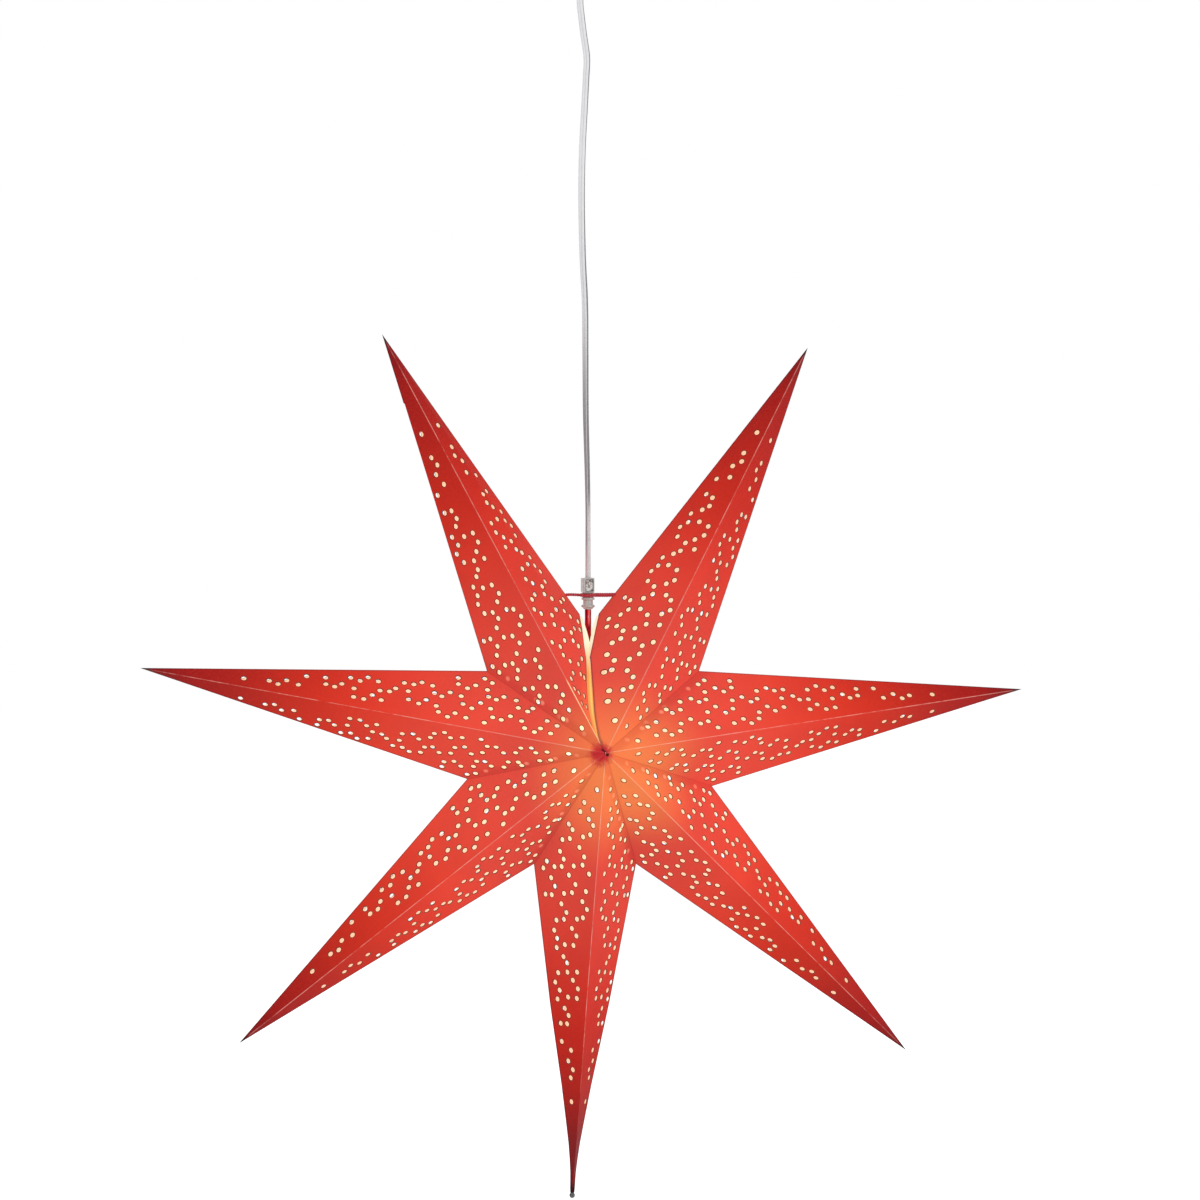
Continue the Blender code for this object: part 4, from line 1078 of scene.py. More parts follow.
def punch_centres(flat, at_seam, off):
    """Where the holes of a half face go, kept clear of its edges."""
    along_scale = flat[0].length / ridge_mm
    out_scale = 0.001 if at_seam else flat[-1].y / corner_out_mm
    off_along, off_out, slant = off
    centres = []
    for along, out in punched_mm:
        out += off_out + slant * (along - slant_middle_mm) / 100
        centres.append(Vector(((along + off_along) * along_scale, out * out_scale, 0)))
    for start, end in zip(flat, [*flat[1:], Vector()]):
        inward = Vector((start.y - end.y, end.x - start.x, 0)).normalized()
        for centre in centres:
            short = hole_radius + rim_width + punch_margin - (centre - start).dot(inward)
            centre += inward * max(0.0, short)
    return centres


def punched_sheet(flat, centres):
    """A flat sheet from the tip round the places, with its holes and their dark rims."""
    bm = bmesh.new()
    outline = [bm.verts.new((0, 0, 0)), *[bm.verts.new(place) for place in flat]]
    edges = [bm.edges.new(pair) for pair in zip(outline, [*outline[1:], outline[0]])]
    rings = []
    for number, centre in enumerate(centres):
        made = bmesh.ops.create_circle(
            bm,
            cap_ends=False,
            segments=hole_sides,
            radius=hole_radius + rim_width,
            matrix=Matrix.Translation(centre) @ Matrix.Rotation(hole_twist * number, 4, "Z"),
        )
        rings.append(list({edge for vert in made["verts"] for edge in vert.link_edges}))
        edges += rings[-1]
    bmesh.ops.triangle_fill(bm, use_beauty=True, use_dissolve=False, edges=edges)
    share = hole_radius / (hole_radius + rim_width)
    for centre, ring in zip(centres, rings):
        grown = bmesh.ops.extrude_edge_only(bm, edges=ring)["geom"]
        inner = only(grown, bmesh.types.BMVert)
        bmesh.ops.scale(bm, vec=(share, share, 1), space=Matrix.Translation(-centre), verts=inner)
        for face in only(grown, bmesh.types.BMFace):
            face.material_index = rim_slot
    return bm


def map_sheet(bm, flat, at_seam, lies_over):
    """Writes the card's maps: along and out, distance to valley and edge, place over the flap."""
    sheet, folds, under = (bm.loops.layers.uv.new(title) for title in card_maps)
    fall = (flat[-1] - flat[0]).normalized()
    lower = flat[-1].normalized()
    for face in bm.faces:
        for loop in face.loops:
            spot = loop.vert.co
            valley = min(from_line(spot, *pair) for pair in zip(flat, flat[1:]))
            outer = from_line(spot, Vector((0, 0, 0)), lower)
            down = (spot.x - flat[0].x) * fall.x + (spot.y - flat[0].y) * fall.y
            loop[sheet].uv = (spot.x, spot.y)
            loop[folds].uv = (valley, min(outer, valley) if at_seam else outer)
            loop[under].uv = (down, valley if lies_over else 0.5)


def half_face(index, turn, side):
    """One half of a card's front or back, punched flat and then folded into place."""
    number, at_seam = edge_number(index, turn)
    tip = tip_of(index)
    corners = [seam_bend(-turn, side), seam_corner(-turn)] if at_seam else [valley_corner(number)]
    spans = [place - tip for place in (apex_of(side), *corners)]
    turns = [0.0]
    for first, second in zip(spans, spans[1:]):
        turns.append(turns[-1] + first.angle(second))
    flat = [
        Vector((span.length * math.cos(angle), span.length * math.sin(angle), 0))
        for span, angle in zip(spans, turns)
    ]
    off = punched_off[2 * index + (turn > 0)]
    bm = punched_sheet(flat, punch_centres(flat, at_seam, off))
    if at_seam:
        cut_across(bm, [Vector()], Vector((-flat[1].y, flat[1].x, 0)).normalized())
    map_sheet(bm, flat, at_seam, turn > 0 and not at_seam)
    rays = [span.normalized() for span in spans]
    for vert in bm.verts:
        reach = math.hypot(vert.co.x, vert.co.y)
        angle = math.atan2(vert.co.y, vert.co.x)
        fan = 0
        while fan < len(turns) - 2 and angle > turns[fan + 1]:
            fan += 1
        whole = turns[fan + 1] - turns[fan]
        first = math.sin(turns[fan + 1] - angle) / math.sin(whole)
        second = math.sin(angle - turns[fan]) / math.sin(whole)
        vert.co = tip + (rays[fan] * first + rays[fan + 1] * second) * reach
    face_towards(bm, Vector((0, side, 0)))
    return bm


def map_strip(bm, slot, across):
    """Gives a strip its finish, and the card's maps with a number from each of its vertices."""
    for title in card_maps:
        layer = bm.loops.layers.uv.new(title)
        for face in bm.faces:
            face.material_index = slot
            for loop in face.loops:
                loop[layer].uv = (across(loop.vert), 0.5)


def glue_flap(index):
    """The strips that step under the next card and lie along its inner side."""
    outward = valley_axes(index + 1)[1]
    corner = valley_corner(index + 1)
    shapes = []
    for side in (-1, 1):
        apex = apex_of(side)
        fall = (corner - apex).normalized()
        normal = (tip_of(index + 1) - apex).cross(fall).normalized()
        if normal.y * side > 0:
            normal.negate()
        inward = outward.cross(fall).normalized()
        if inward.y * side > 0:
            inward.negate()
        lie = fall.cross(normal).normalized()
        if lie.dot(outward) < 0:
            lie.negate()
        depth = (card_thickness + flap_clearance) / inward.dot(normal)
        length = (corner - apex).length - flap_apex_inset - flap_corner_inset
        bm = bmesh.new()
        row = []
        for step in range(flap_cuts + 1):
            row.append(bm.verts.new(apex + fall * (flap_apex_inset + length * step / flap_cuts)))
        edges = [bm.edges.new(pair) for pair in zip(row, row[1:])]
        for move in (inward * depth, lie * flap_width):
            grown = bmesh.ops.extrude_edge_only(bm, edges=edges)["geom"]
            verts = only(grown, bmesh.types.BMVert)
            edges = only(grown, bmesh.types.BMEdge)
            edges = [edge for edge in edges if set(edge.verts) <= set(verts)]
            bmesh.ops.translate(bm, vec=move, verts=verts)
        verts.sort(key=lambda vert: (vert.co - apex).dot(fall))
        for at, bevel in ((0, 1.0), (1, 0.15), (-1, -1.0), (-2, -0.15)):
            verts[at].co += fall * flap_bevel * bevel
        face_towards(bm, -normal)
        map_strip(bm, inside_slot, lambda vert: 0.25)
        shapes.append(bm)
    return shapes


def seam_hem(index):
    """The unprinted strip folded in along the free edge of an end card."""
    turn = -1 if index == 0 else 1
    along, outward = valley_axes(edge_number(index, turn)[0])
    outward *= turn
    shares = (0.0, 0.2, 0.4, 0.6, 0.8, 0.94)
    shapes = []
    for side in (-1, 1):
        apex = apex_of(side) - outward * seam_root_half_gap
        bend = seam_bend(-turn, side)
        places = [apex.lerp(bend, 0.10 + 0.05 * step) for step in range(18)]
        places += [bend.lerp(seam_corner(-turn), share) for share in shares]
        bm = bmesh.new()
        row = [bm.verts.new(lie_at_seam(index, place)) for place in places]
        edges = [bm.edges.new(pair) for pair in zip(row, row[1:])]
        grown = bmesh.ops.extrude_edge_only(bm, edges=edges)["geom"]
        for vert in only(grown, bmesh.types.BMVert):
            out = (vert.co - star_middle).dot(along)
            open_share = max(0.0, out - seam_bend_radius) / (seam_corner_radius - seam_bend_radius)
            lean = Vector((0, -side, 0)) + outward * 1.6 * open_share
            width = hem_width * (1 - 0.70 * open_share)
            if index == 0 and side < 0:
                lean = outward * (2.2 - 0.6 * open_share) + Vector((0, between(hem_lean, out), 0))
                width = hem_width * 0.32 * open_share + front_hem_width * (1 - open_share)
            vert.co += lean.normalized() * width
        edge = set(row)
        map_strip(bm, hem_slot, lambda vert: 0.0 if vert in edge else 1.0)
        shapes.append(bm)
    return shapes


def pinch_tip(bm, index):
    """Draws a point's last stretch together, and presses its end flat where the bead grips it."""
    along, across = towards(point_bearings[index]), towards(point_bearings[index] + 90)
    cut_across(bm, [tip_of(index) - along * short for short, _ in pinched[1:]], along)
    steep, flattest = 0.81, 0.06
    for vert in bm.verts:
        wide = between(pinched, (tip_of(index) - vert.co).dot(along))
        vert.co += across * ((vert.co - star_middle).dot(across) * (wide - 1))
        vert.co.y *= math.sqrt(max(flattest, 1 + steep * (1 - wide * wide)))


def jog_edge(bm, index):
    """Sets a point's outer edge a little in, from the jog down to the valley corner."""
    tip, corner = tip_of(index), valley_corner(index + 1)
    fall = (corner - tip).normalized()
    inward = Vector((0, 1, 0)).cross(fall)
    if inward.dot(towards(point_bearings[index]) * 0.1 + star_middle - corner) < 0:
        inward.negate()
    cut_across(bm, [tip + fall * jog_place, tip + fall * (jog_place + jog_length)], fall)
    whole = (corner - tip).length
    for vert in bm.verts:
        down = (vert.co - tip).dot(fall)
        away = (vert.co - tip - fall * down).length
        if away < 0.00002 and jog_place + 0.0004 < down < whole - 0.001:
            vert.co += inward * jog_depth * (whole - down) / (whole - jog_place)


def star_card(index, finishes):
    """One folded card: four half faces, thickened, with its flap or its hem."""
    halves = [half_face(index, turn, side) for turn in (-1, 1) for side in (-1, 1)]
    bm = joined(bmesh.new(), *halves)
    bmesh.ops.remove_doubles(bm, verts=bm.verts, dist=weld)
    along = towards(point_bearings[index])
    cut_across(bm, [star_middle + along * apex_opening], -along, trimmed=True)
    for turn in (-1, 1):
        number, at_seam = edge_number(index, turn)
        outward = valley_axes(number)[1] * turn
        gap = seam_root_half_gap if at_seam else 0.0
        cut_across(bm, [star_middle - outward * gap], outward, trimmed=True)
    if index == beaded_card:
        pinch_tip(bm, index)
    if index == jogged_card:
        jog_edge(bm, index)
    if index in end_cards:
        along = valley_axes(card_count)[0]
        reach = along * seam_cut_reach
        steps = range(1, seam_cuts + 1)
        cut_across(bm, [star_middle + reach * step / seam_cuts for step in steps], along)
        for vert in bm.verts:
            vert.co = lie_at_seam(index, vert.co)
    if index < card_count - 1:
        bm = joined(bm, *glue_flap(index))
    if index in end_cards:
        bm = joined(bm, *seam_hem(index))
    bmesh.ops.remove_doubles(bm, verts=bm.verts, dist=weld)
    piece = add_piece(f"card_{index + 1}", bm, [finishes[0]] * len(final_slots), None)
    wall = piece.modifiers.new("card", "SOLIDIFY")
    wall.thickness = card_thickness
    wall.offset = -1.0
    wall.use_even_offset = False
    wall.use_quality_normals = True
    wall.material_offset = 4
    wall.material_offset_rim = 8
    settle(piece)
    closed = pinched_closed_tip if index == beaded_card else closed_tip
    slots = [
        0 if (face.center - tip_of(index)).length < closed else final_slots[face.material_index]
        for face in piece.data.polygons
    ]
    piece.data.materials.clear()
    for look in finishes:
        piece.data.materials.append(look)
    piece.data.polygons.foreach_set("material_index", slots)
    stands_for(piece, "star", f"point_{index + 1}")


def tip_bead(look):
    """A small pressed metal bead that the lowest tip is pushed into."""
    radius = 0.0022
    outline = [
        (0.0005, -radius),
        *arc(0, 0, radius, -72, -8, 8),
        (radius * 0.93, 0.0),
        *arc(0, 0, radius, 8, 48, 6),
        (0.0013, radius),
        (0.0012, radius * 0.6),
        (0.0005, -radius * 0.5),
    ]
    bm = turned(eased(outline, 0.0001), sides=32)
    lay = Matrix.Rotation(math.radians(-point_bearings[beaded_card]), 4, "Y")
    bmesh.ops.transform(bm, matrix=Matrix.Translation(tip_of(beaded_card)) @ lay, verts=bm.verts)
    stands_for(add_piece("crimped_bead", bm, [look], 35.0), "star", "tip_bead")


# Flex and sleeve.
def flex(look):
    """The flat two-core flex, slowly turning on its way down."""
    stations = 150
    places = smooth_route([Vector((x, y, flex_top - drop)) for x, y, drop in flex_route], stations)
    facing = smooth_route([Vector((0, 0, turn)) for turn in flex_turns], stations)
    ring = twin_ring(0.00095, 0.00165, 125, 10)
    bm = swept(places, ring, [place.z for place in facing])
    piece = add_piece("flat_flex", bm, [look], 60.0)
    rows = range(stations + 1)
    mark(piece, "across", [spot[0] for _ in rows for spot in ring])
    mark(piece, "deep", [spot[1] for _ in rows for spot in ring])
    mark(piece, "length", [row * (flex_top - flex_end) / stations for row in rows for _ in ring])
    stands_for(piece, "flex", "pendant_cord")
    return piece, places, route_lengths(places)[-1]


def sleeve(look):
    """The red tube over the flat flex below the clip, a little slack and with rolled ends."""
    top, foot = sleeve_top, sleeve_foot
    wide, deep, wall = 0.00285, 0.00200, 0.00042
    rows = 28

    def oval(grow):
        return [(x * (wide + grow), y * (deep + grow)) for x, y in round_ring(1.0, 48)]

    def down(start, end, count):
        heights = [start + (end - start) * step / count for step in range(count + 1)]
        return [clip_middle + Vector((0, 0, height)) for height in heights]

    skin = swept(down(top, foot, rows), oval(0.0), [sleeve_turn] * (rows + 1))
    for vert in skin.verts:
        share = (top - vert.co.z) / (top - foot)
        slack = 1 + 0.020 * math.sin(share * 23.0) * math.sin(share * 7.0)
        vert.co.x = clip_x + (vert.co.x - clip_x) * slack
        vert.co.y *= slack
    core = swept(down(top + 0.001, foot - 0.001, 2), oval(-wall), [sleeve_turn] * 3)
    shapes = [carved(skin, core)]
    for height, grow in ((top - 0.0003, -0.00004), (foot + 0.0003, -0.00020)):
        ring = []
        for x, y in [*oval(grow), oval(grow)[0]]:
            spot = Vector((x, y, 0))
            spot.rotate(Matrix.Rotation(-sleeve_turn, 3, "Z"))
            ring.append(clip_middle + spot + Vector((0, 0, height)))
        shapes.append(swept(ring, round_ring(0.00020, 8)))
    piece = add_piece("red_tube", joined(*shapes), [look], 50.0)
    stands_for(piece, "flex", "cord_sleeve")


# Clip, jaw and string.
def clip(look):
    """The clear clip: a housing with a window, and a waisted stem below it."""
    top = clip_top
    half_widths = {-1: 0.0049, 1: 0.0040}
    low = (clip_x - half_widths[-1], -0.0060, top - 0.0115)
    bm = block(low, (clip_x + half_widths[1], 0.0046, top), 0.0007, 4)
    stem = outline_mm(
        top, (0, 10.5), (4.0, 10.5), (4.0, 15.3), (5.0, 15.3), (5.0, 17.0), (3.8, 17.0),
        (3.8, 20.4), (5.2, 21.3), (5.2, 22.5), (3.6, 23.4), (3.6, 24.2), (0, 24.2),
    )
    bm = carved(bm, turned(eased(stem, 0.0004, 3), clip_middle, 48), "UNION")
    bm = carved(bm, bar((clip_x, 0, top + 0.003), (clip_x, 0, top - 0.030), flex_bore, 40))
    low, high = (clip_x - 0.0031, -0.0090, top - 0.0104), (clip_x + 0.0031, -0.0002, top - 0.0012)
    bm = carved(bm, block(low, high, 0.0003, 2))
    grip, grip_pitch = 0.0003, 0.0017
    for side in (-1, 1):
        for step in range(5):
            wall = clip_x + side * half_widths[side]
            height = top - 0.0026 - grip_pitch * step
            low = (wall - grip, -0.0038, height - grip)
            bm = carved(bm, block(low, (wall + grip, 0.0026, height + grip), 0.0001, 1))
    rib_pitch = 0.0024
    for step in range(3):
        low = (clip_x - 0.0030, 0.0044, top - 0.0040 - rib_pitch * step)
        high = (clip_x + 0.0030, 0.0050, top - 0.0030 - rib_pitch * step)
        bm = carved(bm, block(low, high, 0.0001, 1))
    stands_for(add_piece("cord_clip", bm, [look], 32.0), "clip", "clip_housing")


def jaw(look):
    """The ridged block behind the clip's window."""
    top = clip_top - 0.0015
    front, back = -0.0054, -0.0028
    half = 0.0028
    tooth_pitch, flute_pitch = 0.00093, 0.0014
    bm = block((clip_x - half, front, top - 0.0086), (clip_x + half, back, top), 0.0003, 2)
    for step in range(9):
        height = top - 0.0006 - tooth_pitch * step
        ends = [(clip_x + side * (half + 0.001), front - 0.00005, height) for side in (-1, 1)]
        bm = carved(bm, bar(*ends, 0.00030, 10))
    for side in (-1, 0, 1):
        at = clip_x + side * flute_pitch
        ends = [(at, front - 0.0001, height) for height in (top + 0.001, top - 0.010)]
        bm = carved(bm, bar(*ends, 0.00024, 8))
    stands_for(add_piece("ridged_jaw", bm, [look], 30.0), "jaw", "clip_jaw")


def twisted(places, radius, pitch, sides=8):
    """Two plies wound round a route, as in a twisted thread."""
    lengths = route_lengths(places)
    up = Vector((0, 0, 1))
    shapes = []
    for ply in (0, 0.5):
        route = []
        for at, place in enumerate(places):
            ahead = ahead_at(places, at)
            side = ahead.cross(up) if abs(ahead.dot(up)) < 0.9 else ahead.orthogonal()
            side.normalize()
            front = ahead.cross(side)
            angle = math.tau * (ply + lengths[at] / pitch)
            route.append(place + (side * math.cos(angle) + front * math.sin(angle)) * radius * 0.38)
        shapes.append(swept(route, round_ring(radius * 0.62, sides)))
    return joined(*shapes)


def thread_knot(place, radius, lay):
    """A small overhand knot, drawn tight."""
    route = []
    for step in range(49):
        t = math.tau * step / 48
        x, y = math.sin(t) + 2 * math.sin(2 * t), math.cos(t) - 2 * math.cos(2 * t)
        spot = Vector((x, y, -1.4 * math.sin(3 * t))) * (radius * 0.245)
        spot.rotate(lay)
        route.append(place + spot)
    return twisted(route, radius * 0.36, radius * 2.2, 7)


def string(look):
    """The red string: a loop in the clip's groove, two arms, and three knots."""
    loop_radius, loop_thread = 0.0052, 0.00145
    centre = Vector((clip_x, 0, string_height))
    loop = [centre + Vector((x, y, 0)) for x, y in arc(0, 0, loop_radius, 0, 360, 64)]
    shapes = [twisted(loop, loop_thread, 0.0040)]
    for side, end, droop, thread in ((-1, -0.0203, 0.0004, 0.00125), (1, 0.0243, -0.0001, 0.0017)):
        start = centre + Vector((side * loop_radius * 0.98, 0, 0))
        stop = Vector((end, 0, string_height))
        route = smooth_route([start, start.lerp(stop, 0.5) + Vector((0, 0, droop)), stop], 40)
        shapes.append(twisted(route, thread, 0.0036))
        shapes.append(thread_knot(stop, 0.0020, Matrix.Rotation(0.6 * side, 3, "Y")))
    front = centre + Vector((-0.0002, -loop_radius - 0.0007, 0))
    shapes.append(thread_knot(front, 0.0016, Matrix.Rotation(1.3, 3, "X")))
    piece = add_piece("twisted_string", joined(*shapes), [look], 80.0)
    stands_for(piece, "string", "tie_string")


# Lampholder and bulb.
def turned_piece(name, outline, look, smooth_below, sides, ease=0.0):
    """A piece turned about the flex's line, with its corners eased."""
    outline = eased(outline, ease) if ease else outline
    return add_piece(name, turned(outline, clip_middle, sides), [look], smooth_below)


def lampholder(plastic_look, ceramic, brass):
    """The dome on the flex, the fluted sleeve, and the disc, thread and spring inside it."""
    top = dome_top
    dome = [
        *outline_mm(
            top, (2.75, 0), (5.2, 0), (5.2, 1.2), (4.9, 1.5), (4.9, 3.0), (5.2, 3.3), (5.2, 5.0)
        ),
        *arc(0.0052, top - 0.0180, 0.0083, 81, 0, 9, 0.0130),
        *arc(0.0052, top - 0.0180, 0.0069, 0, 90, 10, 0.0116),
        (flex_bore, top - 0.0064),
    ]
    piece = turned_piece("holder_dome", dome, plastic_look, 30.0, 64, 0.0003)
    stands_for(piece, "flex", "holder_cap")

    top = holder_top
    wall = outline_mm(
        top, (13.5, 0), (13.5, 29.2), (14.2, 29.9), (14.2, 31.3), (13.5, 32.0), (12.1, 32.0),
        (12.1, 11.7), (10.7, 11.7), (10.7, 10.3), (12.1, 10.3), (12.1, 0),
    )
    bm = turned(eased(wall, 0.0003), clip_middle, 72)
    grooves = 36
    for x, y in round_ring(0.0137, grooves):
        ends = [clip_middle + Vector((x, y, top - drop)) for drop in (0.0030, 0.0260)]
        bm = carved(bm, bar(*ends, 0.0004, 6))
    piece = add_piece("holder_sleeve", bm, [plastic_look], 30.0)
    stands_for(piece, "flex", "holder_body")

    disc = outline_mm(top, (0, 3.0), (11.8, 3.0), (11.8, 10.0), (6.0, 10.0), (5.6, 9.0), (0, 9.0))
    bm = turned(eased(disc, 0.0004), clip_middle, 56)
    for side in (-1, 1):
        at = clip_x + side * 0.0059
        bm = carved(bm, bar((at, 0, top - 0.001), (at, 0, top - 0.012), 0.0016, 24))
    piece = add_piece("holder_disc", bm, [ceramic], 30.0)
    stands_for(piece, "flex", "holder_insulator")

    top = holder_top - 0.0103
    thread = rolled_thread(0.0072, 0.00022, top - 0.0006, 0.0160, 5.7, 48)
    shell = [
        *outline_mm(top, (7.25, 0), (9.8, 0), (9.8, 0.5)),
        *[(radius + 0.00025, height) for radius, height in thread],
        *[(radius - 0.00015, height) for radius, height in reversed(thread)],
    ]
    piece = turned_piece("socket_thread", shell, brass, 40.0, 56)
    stands_for(piece, "flex", "holder_shell")

    spring = outline_mm(top, (0, 0), (2.6, 0), (2.6, 0.5), (1.4, 1.2), (0, 1.2))
    piece = turned_piece("centre_spring", spring, brass, 40.0, 32, 0.0002)
    stands_for(piece, "flex", "holder_contact")


def bulb_globe(glass):
    """The frosted globe, blown out of a short neck."""
    middle = bulb_neck - 0.0330
    neck, radius, wall = 0.0058, 0.0225, 0.0008
    neck_top = bulb_neck + 0.0030
    outer = arc(0, middle, radius, math.degrees(math.acos(neck / radius)), -90, 26)
    inner_start = math.degrees(math.acos((neck - wall) / (radius - wall)))
    inner = arc(0, middle, radius - wall, -90, inner_start, 26)
    outline = [
        (neck, neck_top),
        (neck, middle + 0.0285),
        (neck + 0.0003, middle + 0.0255),
        *outer[2:-1],
        (0, middle - radius),
        (0, middle - radius + wall),
        *inner[1:-2],
        (neck - wall + 0.0003, middle + 0.0250),
        (neck - wall, middle + 0.0285),
        (neck - wall, neck_top),
    ]
    piece = turned_piece("frosted_globe", outline, glass, 60.0, 72)
    stands_for(piece, "bulb", "bulb_glass")


def bulb_wire(wire):
    """Two legs and the fine coil hung between them."""
    top = bulb_neck - 0.0150
    foot = top - 0.0120
    leg, spread = 0.0023, 0.0050
    route = [
        (-leg, top), (-leg, top - 0.003), (-spread, foot + 0.003), (-spread, foot),
        (0, foot - 0.003), (spread, foot), (spread, foot + 0.003), (leg, top - 0.003), (leg, top),
    ]
    places = smooth_route([Vector((clip_x + x, 0, z)) for x, z in route], 200)
    leg_ring, coil_ring = round_ring(0.00024, 8), round_ring(0.00010, 5)
    side = Vector((0, 1, 0))
    coil = []
    for at in range(56, 145):
        front = ahead_at(places, at).cross(side)
        for step in range(4):
            angle = math.tau * ((at - 56) * 4 + step) / 8
            off = (side * math.cos(angle) + front * math.sin(angle)) * 0.00030
            coil.append(places[at].lerp(places[at + 1], step / 4) + off)
    bm = joined(swept(places[:60], leg_ring), swept(places[140:], leg_ring), swept(coil, coil_ring))
    stands_for(add_piece("coiled_wire", bm, [wire], 60.0), "bulb", "bulb_filament")


def bulb(glass, stem_glass, brass, solder, wire):
    """The bulb: its solder button, threaded cap, globe, stem and wire."""
    button = outline_mm(solder_top, (0, 0), (1.3, 0), (2.3, 0.5), (2.3, 0.9), (0, 0.9))
    piece = turned_piece("solder_button", button, solder, 40.0, 32, 0.0002)
    stands_for(piece, "bulb_base", "bulb_contact")

    top = bulb_cap_top
    cap = [
        *outline_mm(top, (0, 0), (2.3, 0), (3.0, 0.6), (5.8, 2.6)),
        *rolled_thread(0.00645, -0.00022, top - 0.0032, 0.0126, 4.5, 60),
        *outline_mm(top, (6.5, 16.5), (6.1, 16.5), (5.8, 3.4), (2.3, 0.8), (0, 0.8)),
    ]
    piece = turned_piece("threaded_cap", cap, brass, 40.0, 56)
    stands_for(piece, "bulb", "bulb_cap")
    bulb_globe(glass)

    stem = outline_mm(
        bulb_neck + 0.0030, (0, 0), (4.6, 0), (4.4, 2.6), (3.0, 6.0), (1.7, 11.0), (1.6, 21.5),
        (2.0, 22.8), (1.2, 24.0), (0, 24.0),
    )
    piece = turned_piece("glass_stem", stem, stem_glass, 50.0, 32, 0.0006)
    stands_for(piece, "bulb", "bulb_stem")
    bulb_wire(wire)


# Ceiling fitting.
def cup(look):
    """The white cup, with a rolled rim and a seat for the ball in its floor."""
    outer, inner, floor, foot = 0.0320, 0.0305, 0.0130, -0.0320
    rim = ((31.7, 0.5), (32.0, 0.9), (32.0, 1.8), (31.6, 2.2), (31.6, 2.7), (32.0, 3.1))
    outline = [
        *outline_mm(0, *rim),
        *arc(floor, foot, outer - floor, 0, 90, 14, -0.0120),
        *outline_mm(0, (7.8, 44.0), (7.2, 43.7), (6.0, 43.8), (5.6, 43.6), (5.6, 42.5)),
        *arc(floor, foot, inner - floor, 90, 0, 14, -0.0105),
        *outline_mm(0, (30.5, 0.9), (30.8, 0.5)),
    ]
    bm = turned(outline, sides=96)
    for side in (-1, 1):
        ends = [(0, side * out, side_screw_height) for out in (0.036, 0.028)]
        bm = carved(bm, bar(*ends, side_hole_radius))
    stands_for(add_piece("ceiling_rose", bm, [look], 28.0), "ceiling", "ceiling_cup")


def plate(look):
    """The pressed zinc plate behind the cup, with a stiffening ring and its holes."""
    outline = outline_mm(
        0, (0, 0), (30.0, 0), (30.0, 9.0), (28.2, 9.0), (28.2, 2.0), (25.0, 2.0), (24.6, 2.4),
        (23.8, 2.4), (23.4, 2.0), (0, 2.0),
    )
    bm = turned(eased(outline, 0.0004), sides=80)
    for side in (-1, 1):
        at = side * plate_screw_x
        bm = carved(bm, bar((at, 0, 0.003), (at, 0, -0.006), 0.0022))
        ends = [(0, side * out, side_screw_height) for out in (0.034, 0.026)]
        bm = carved(bm, bar(*ends, side_hole_radius))
    bm = carved(bm, bar((0, 0.0170, 0.003), (0, 0.0170, -0.006), 0.0050, 40))
    stands_for(add_piece("pressed_plate", bm, [look], 28.0), "ceiling", "ceiling_plate")


def screw_shape(length, shank, head, head_height, pitch):
    """A pan-head screw with a thread and a cross slot, head down at the origin."""
    outline = [
        (0, length),
        (shank * 0.25, length),
        (shank * 0.80, length - shank * 2.2),
        (shank * 0.80, 0),
        (head, 0),
        (head, -head_height * 0.45),
        (head * 0.86, -head_height * 0.80),
        (head * 0.55, -head_height),
        (0, -head_height),
    ]
    bm = turned(eased(outline, 0.0002), sides=36)
    slot_length, slot_half = head * 0.62, 0.00035
    for lay in (0, math.pi / 2):
        low = (-slot_length, -slot_half, -head_height * 1.5)
        slot = block(low, (slot_length, slot_half, -head_height * 0.45))
        turn = Matrix.Rotation(lay + 0.4, 3, "Z")
        bmesh.ops.rotate(slot, cent=(0, 0, 0), matrix=turn, verts=slot.verts)
        bm = carved(bm, slot)
    turns = (length - shank * 2.4) / pitch
    count = int(turns * 18)
    route = []
    for step in range(count + 1):
        angle = math.tau * turns * step / count
        rise = shank * 0.3 + turns * pitch * step / count
        route.append(Vector((math.cos(angle) * shank * 0.82, math.sin(angle) * shank * 0.82, rise)))
    ridge = [(0.0, shank * 0.20), (-shank * 0.16, -shank * 0.06), (shank * 0.16, -shank * 0.06)]
    return joined(bm, swept(route, ridge, across=Vector((0, 0, 1))))


def fixings(zinc, white):
    """Two screws up through the plate, and two through the cup's sides into it."""
    for side, name in ((-1, "left"), (1, "right")):
        bm = screw_shape(0.0183, 0.0019, 0.0038, 0.0020, 0.0013)
        bmesh.ops.translate(bm, vec=(side * plate_screw_x, 0, block_top), verts=bm.verts)
        piece = add_piece(f"plate_fixing_{name}", bm, [zinc], 32.0)
        stands_for(piece, "ceiling", f"plate_screw_{name}")
    for side, name in ((-1, "front"), (1, "back")):
        bm = screw_shape(0.0060, 0.0016, 0.0030, 0.0014, 0.0008)
        lay = Matrix.Rotation(math.radians(90 * -side), 4, "X")
        place = Matrix.Translation((0, side * 0.0323, side_screw_height))
        bmesh.ops.transform(bm, matrix=place @ lay, verts=bm.verts)
        piece = add_piece(f"side_fixing_{name}", bm, [white], 32.0)
        stands_for(piece, "ceiling", f"cup_screw_{name}")


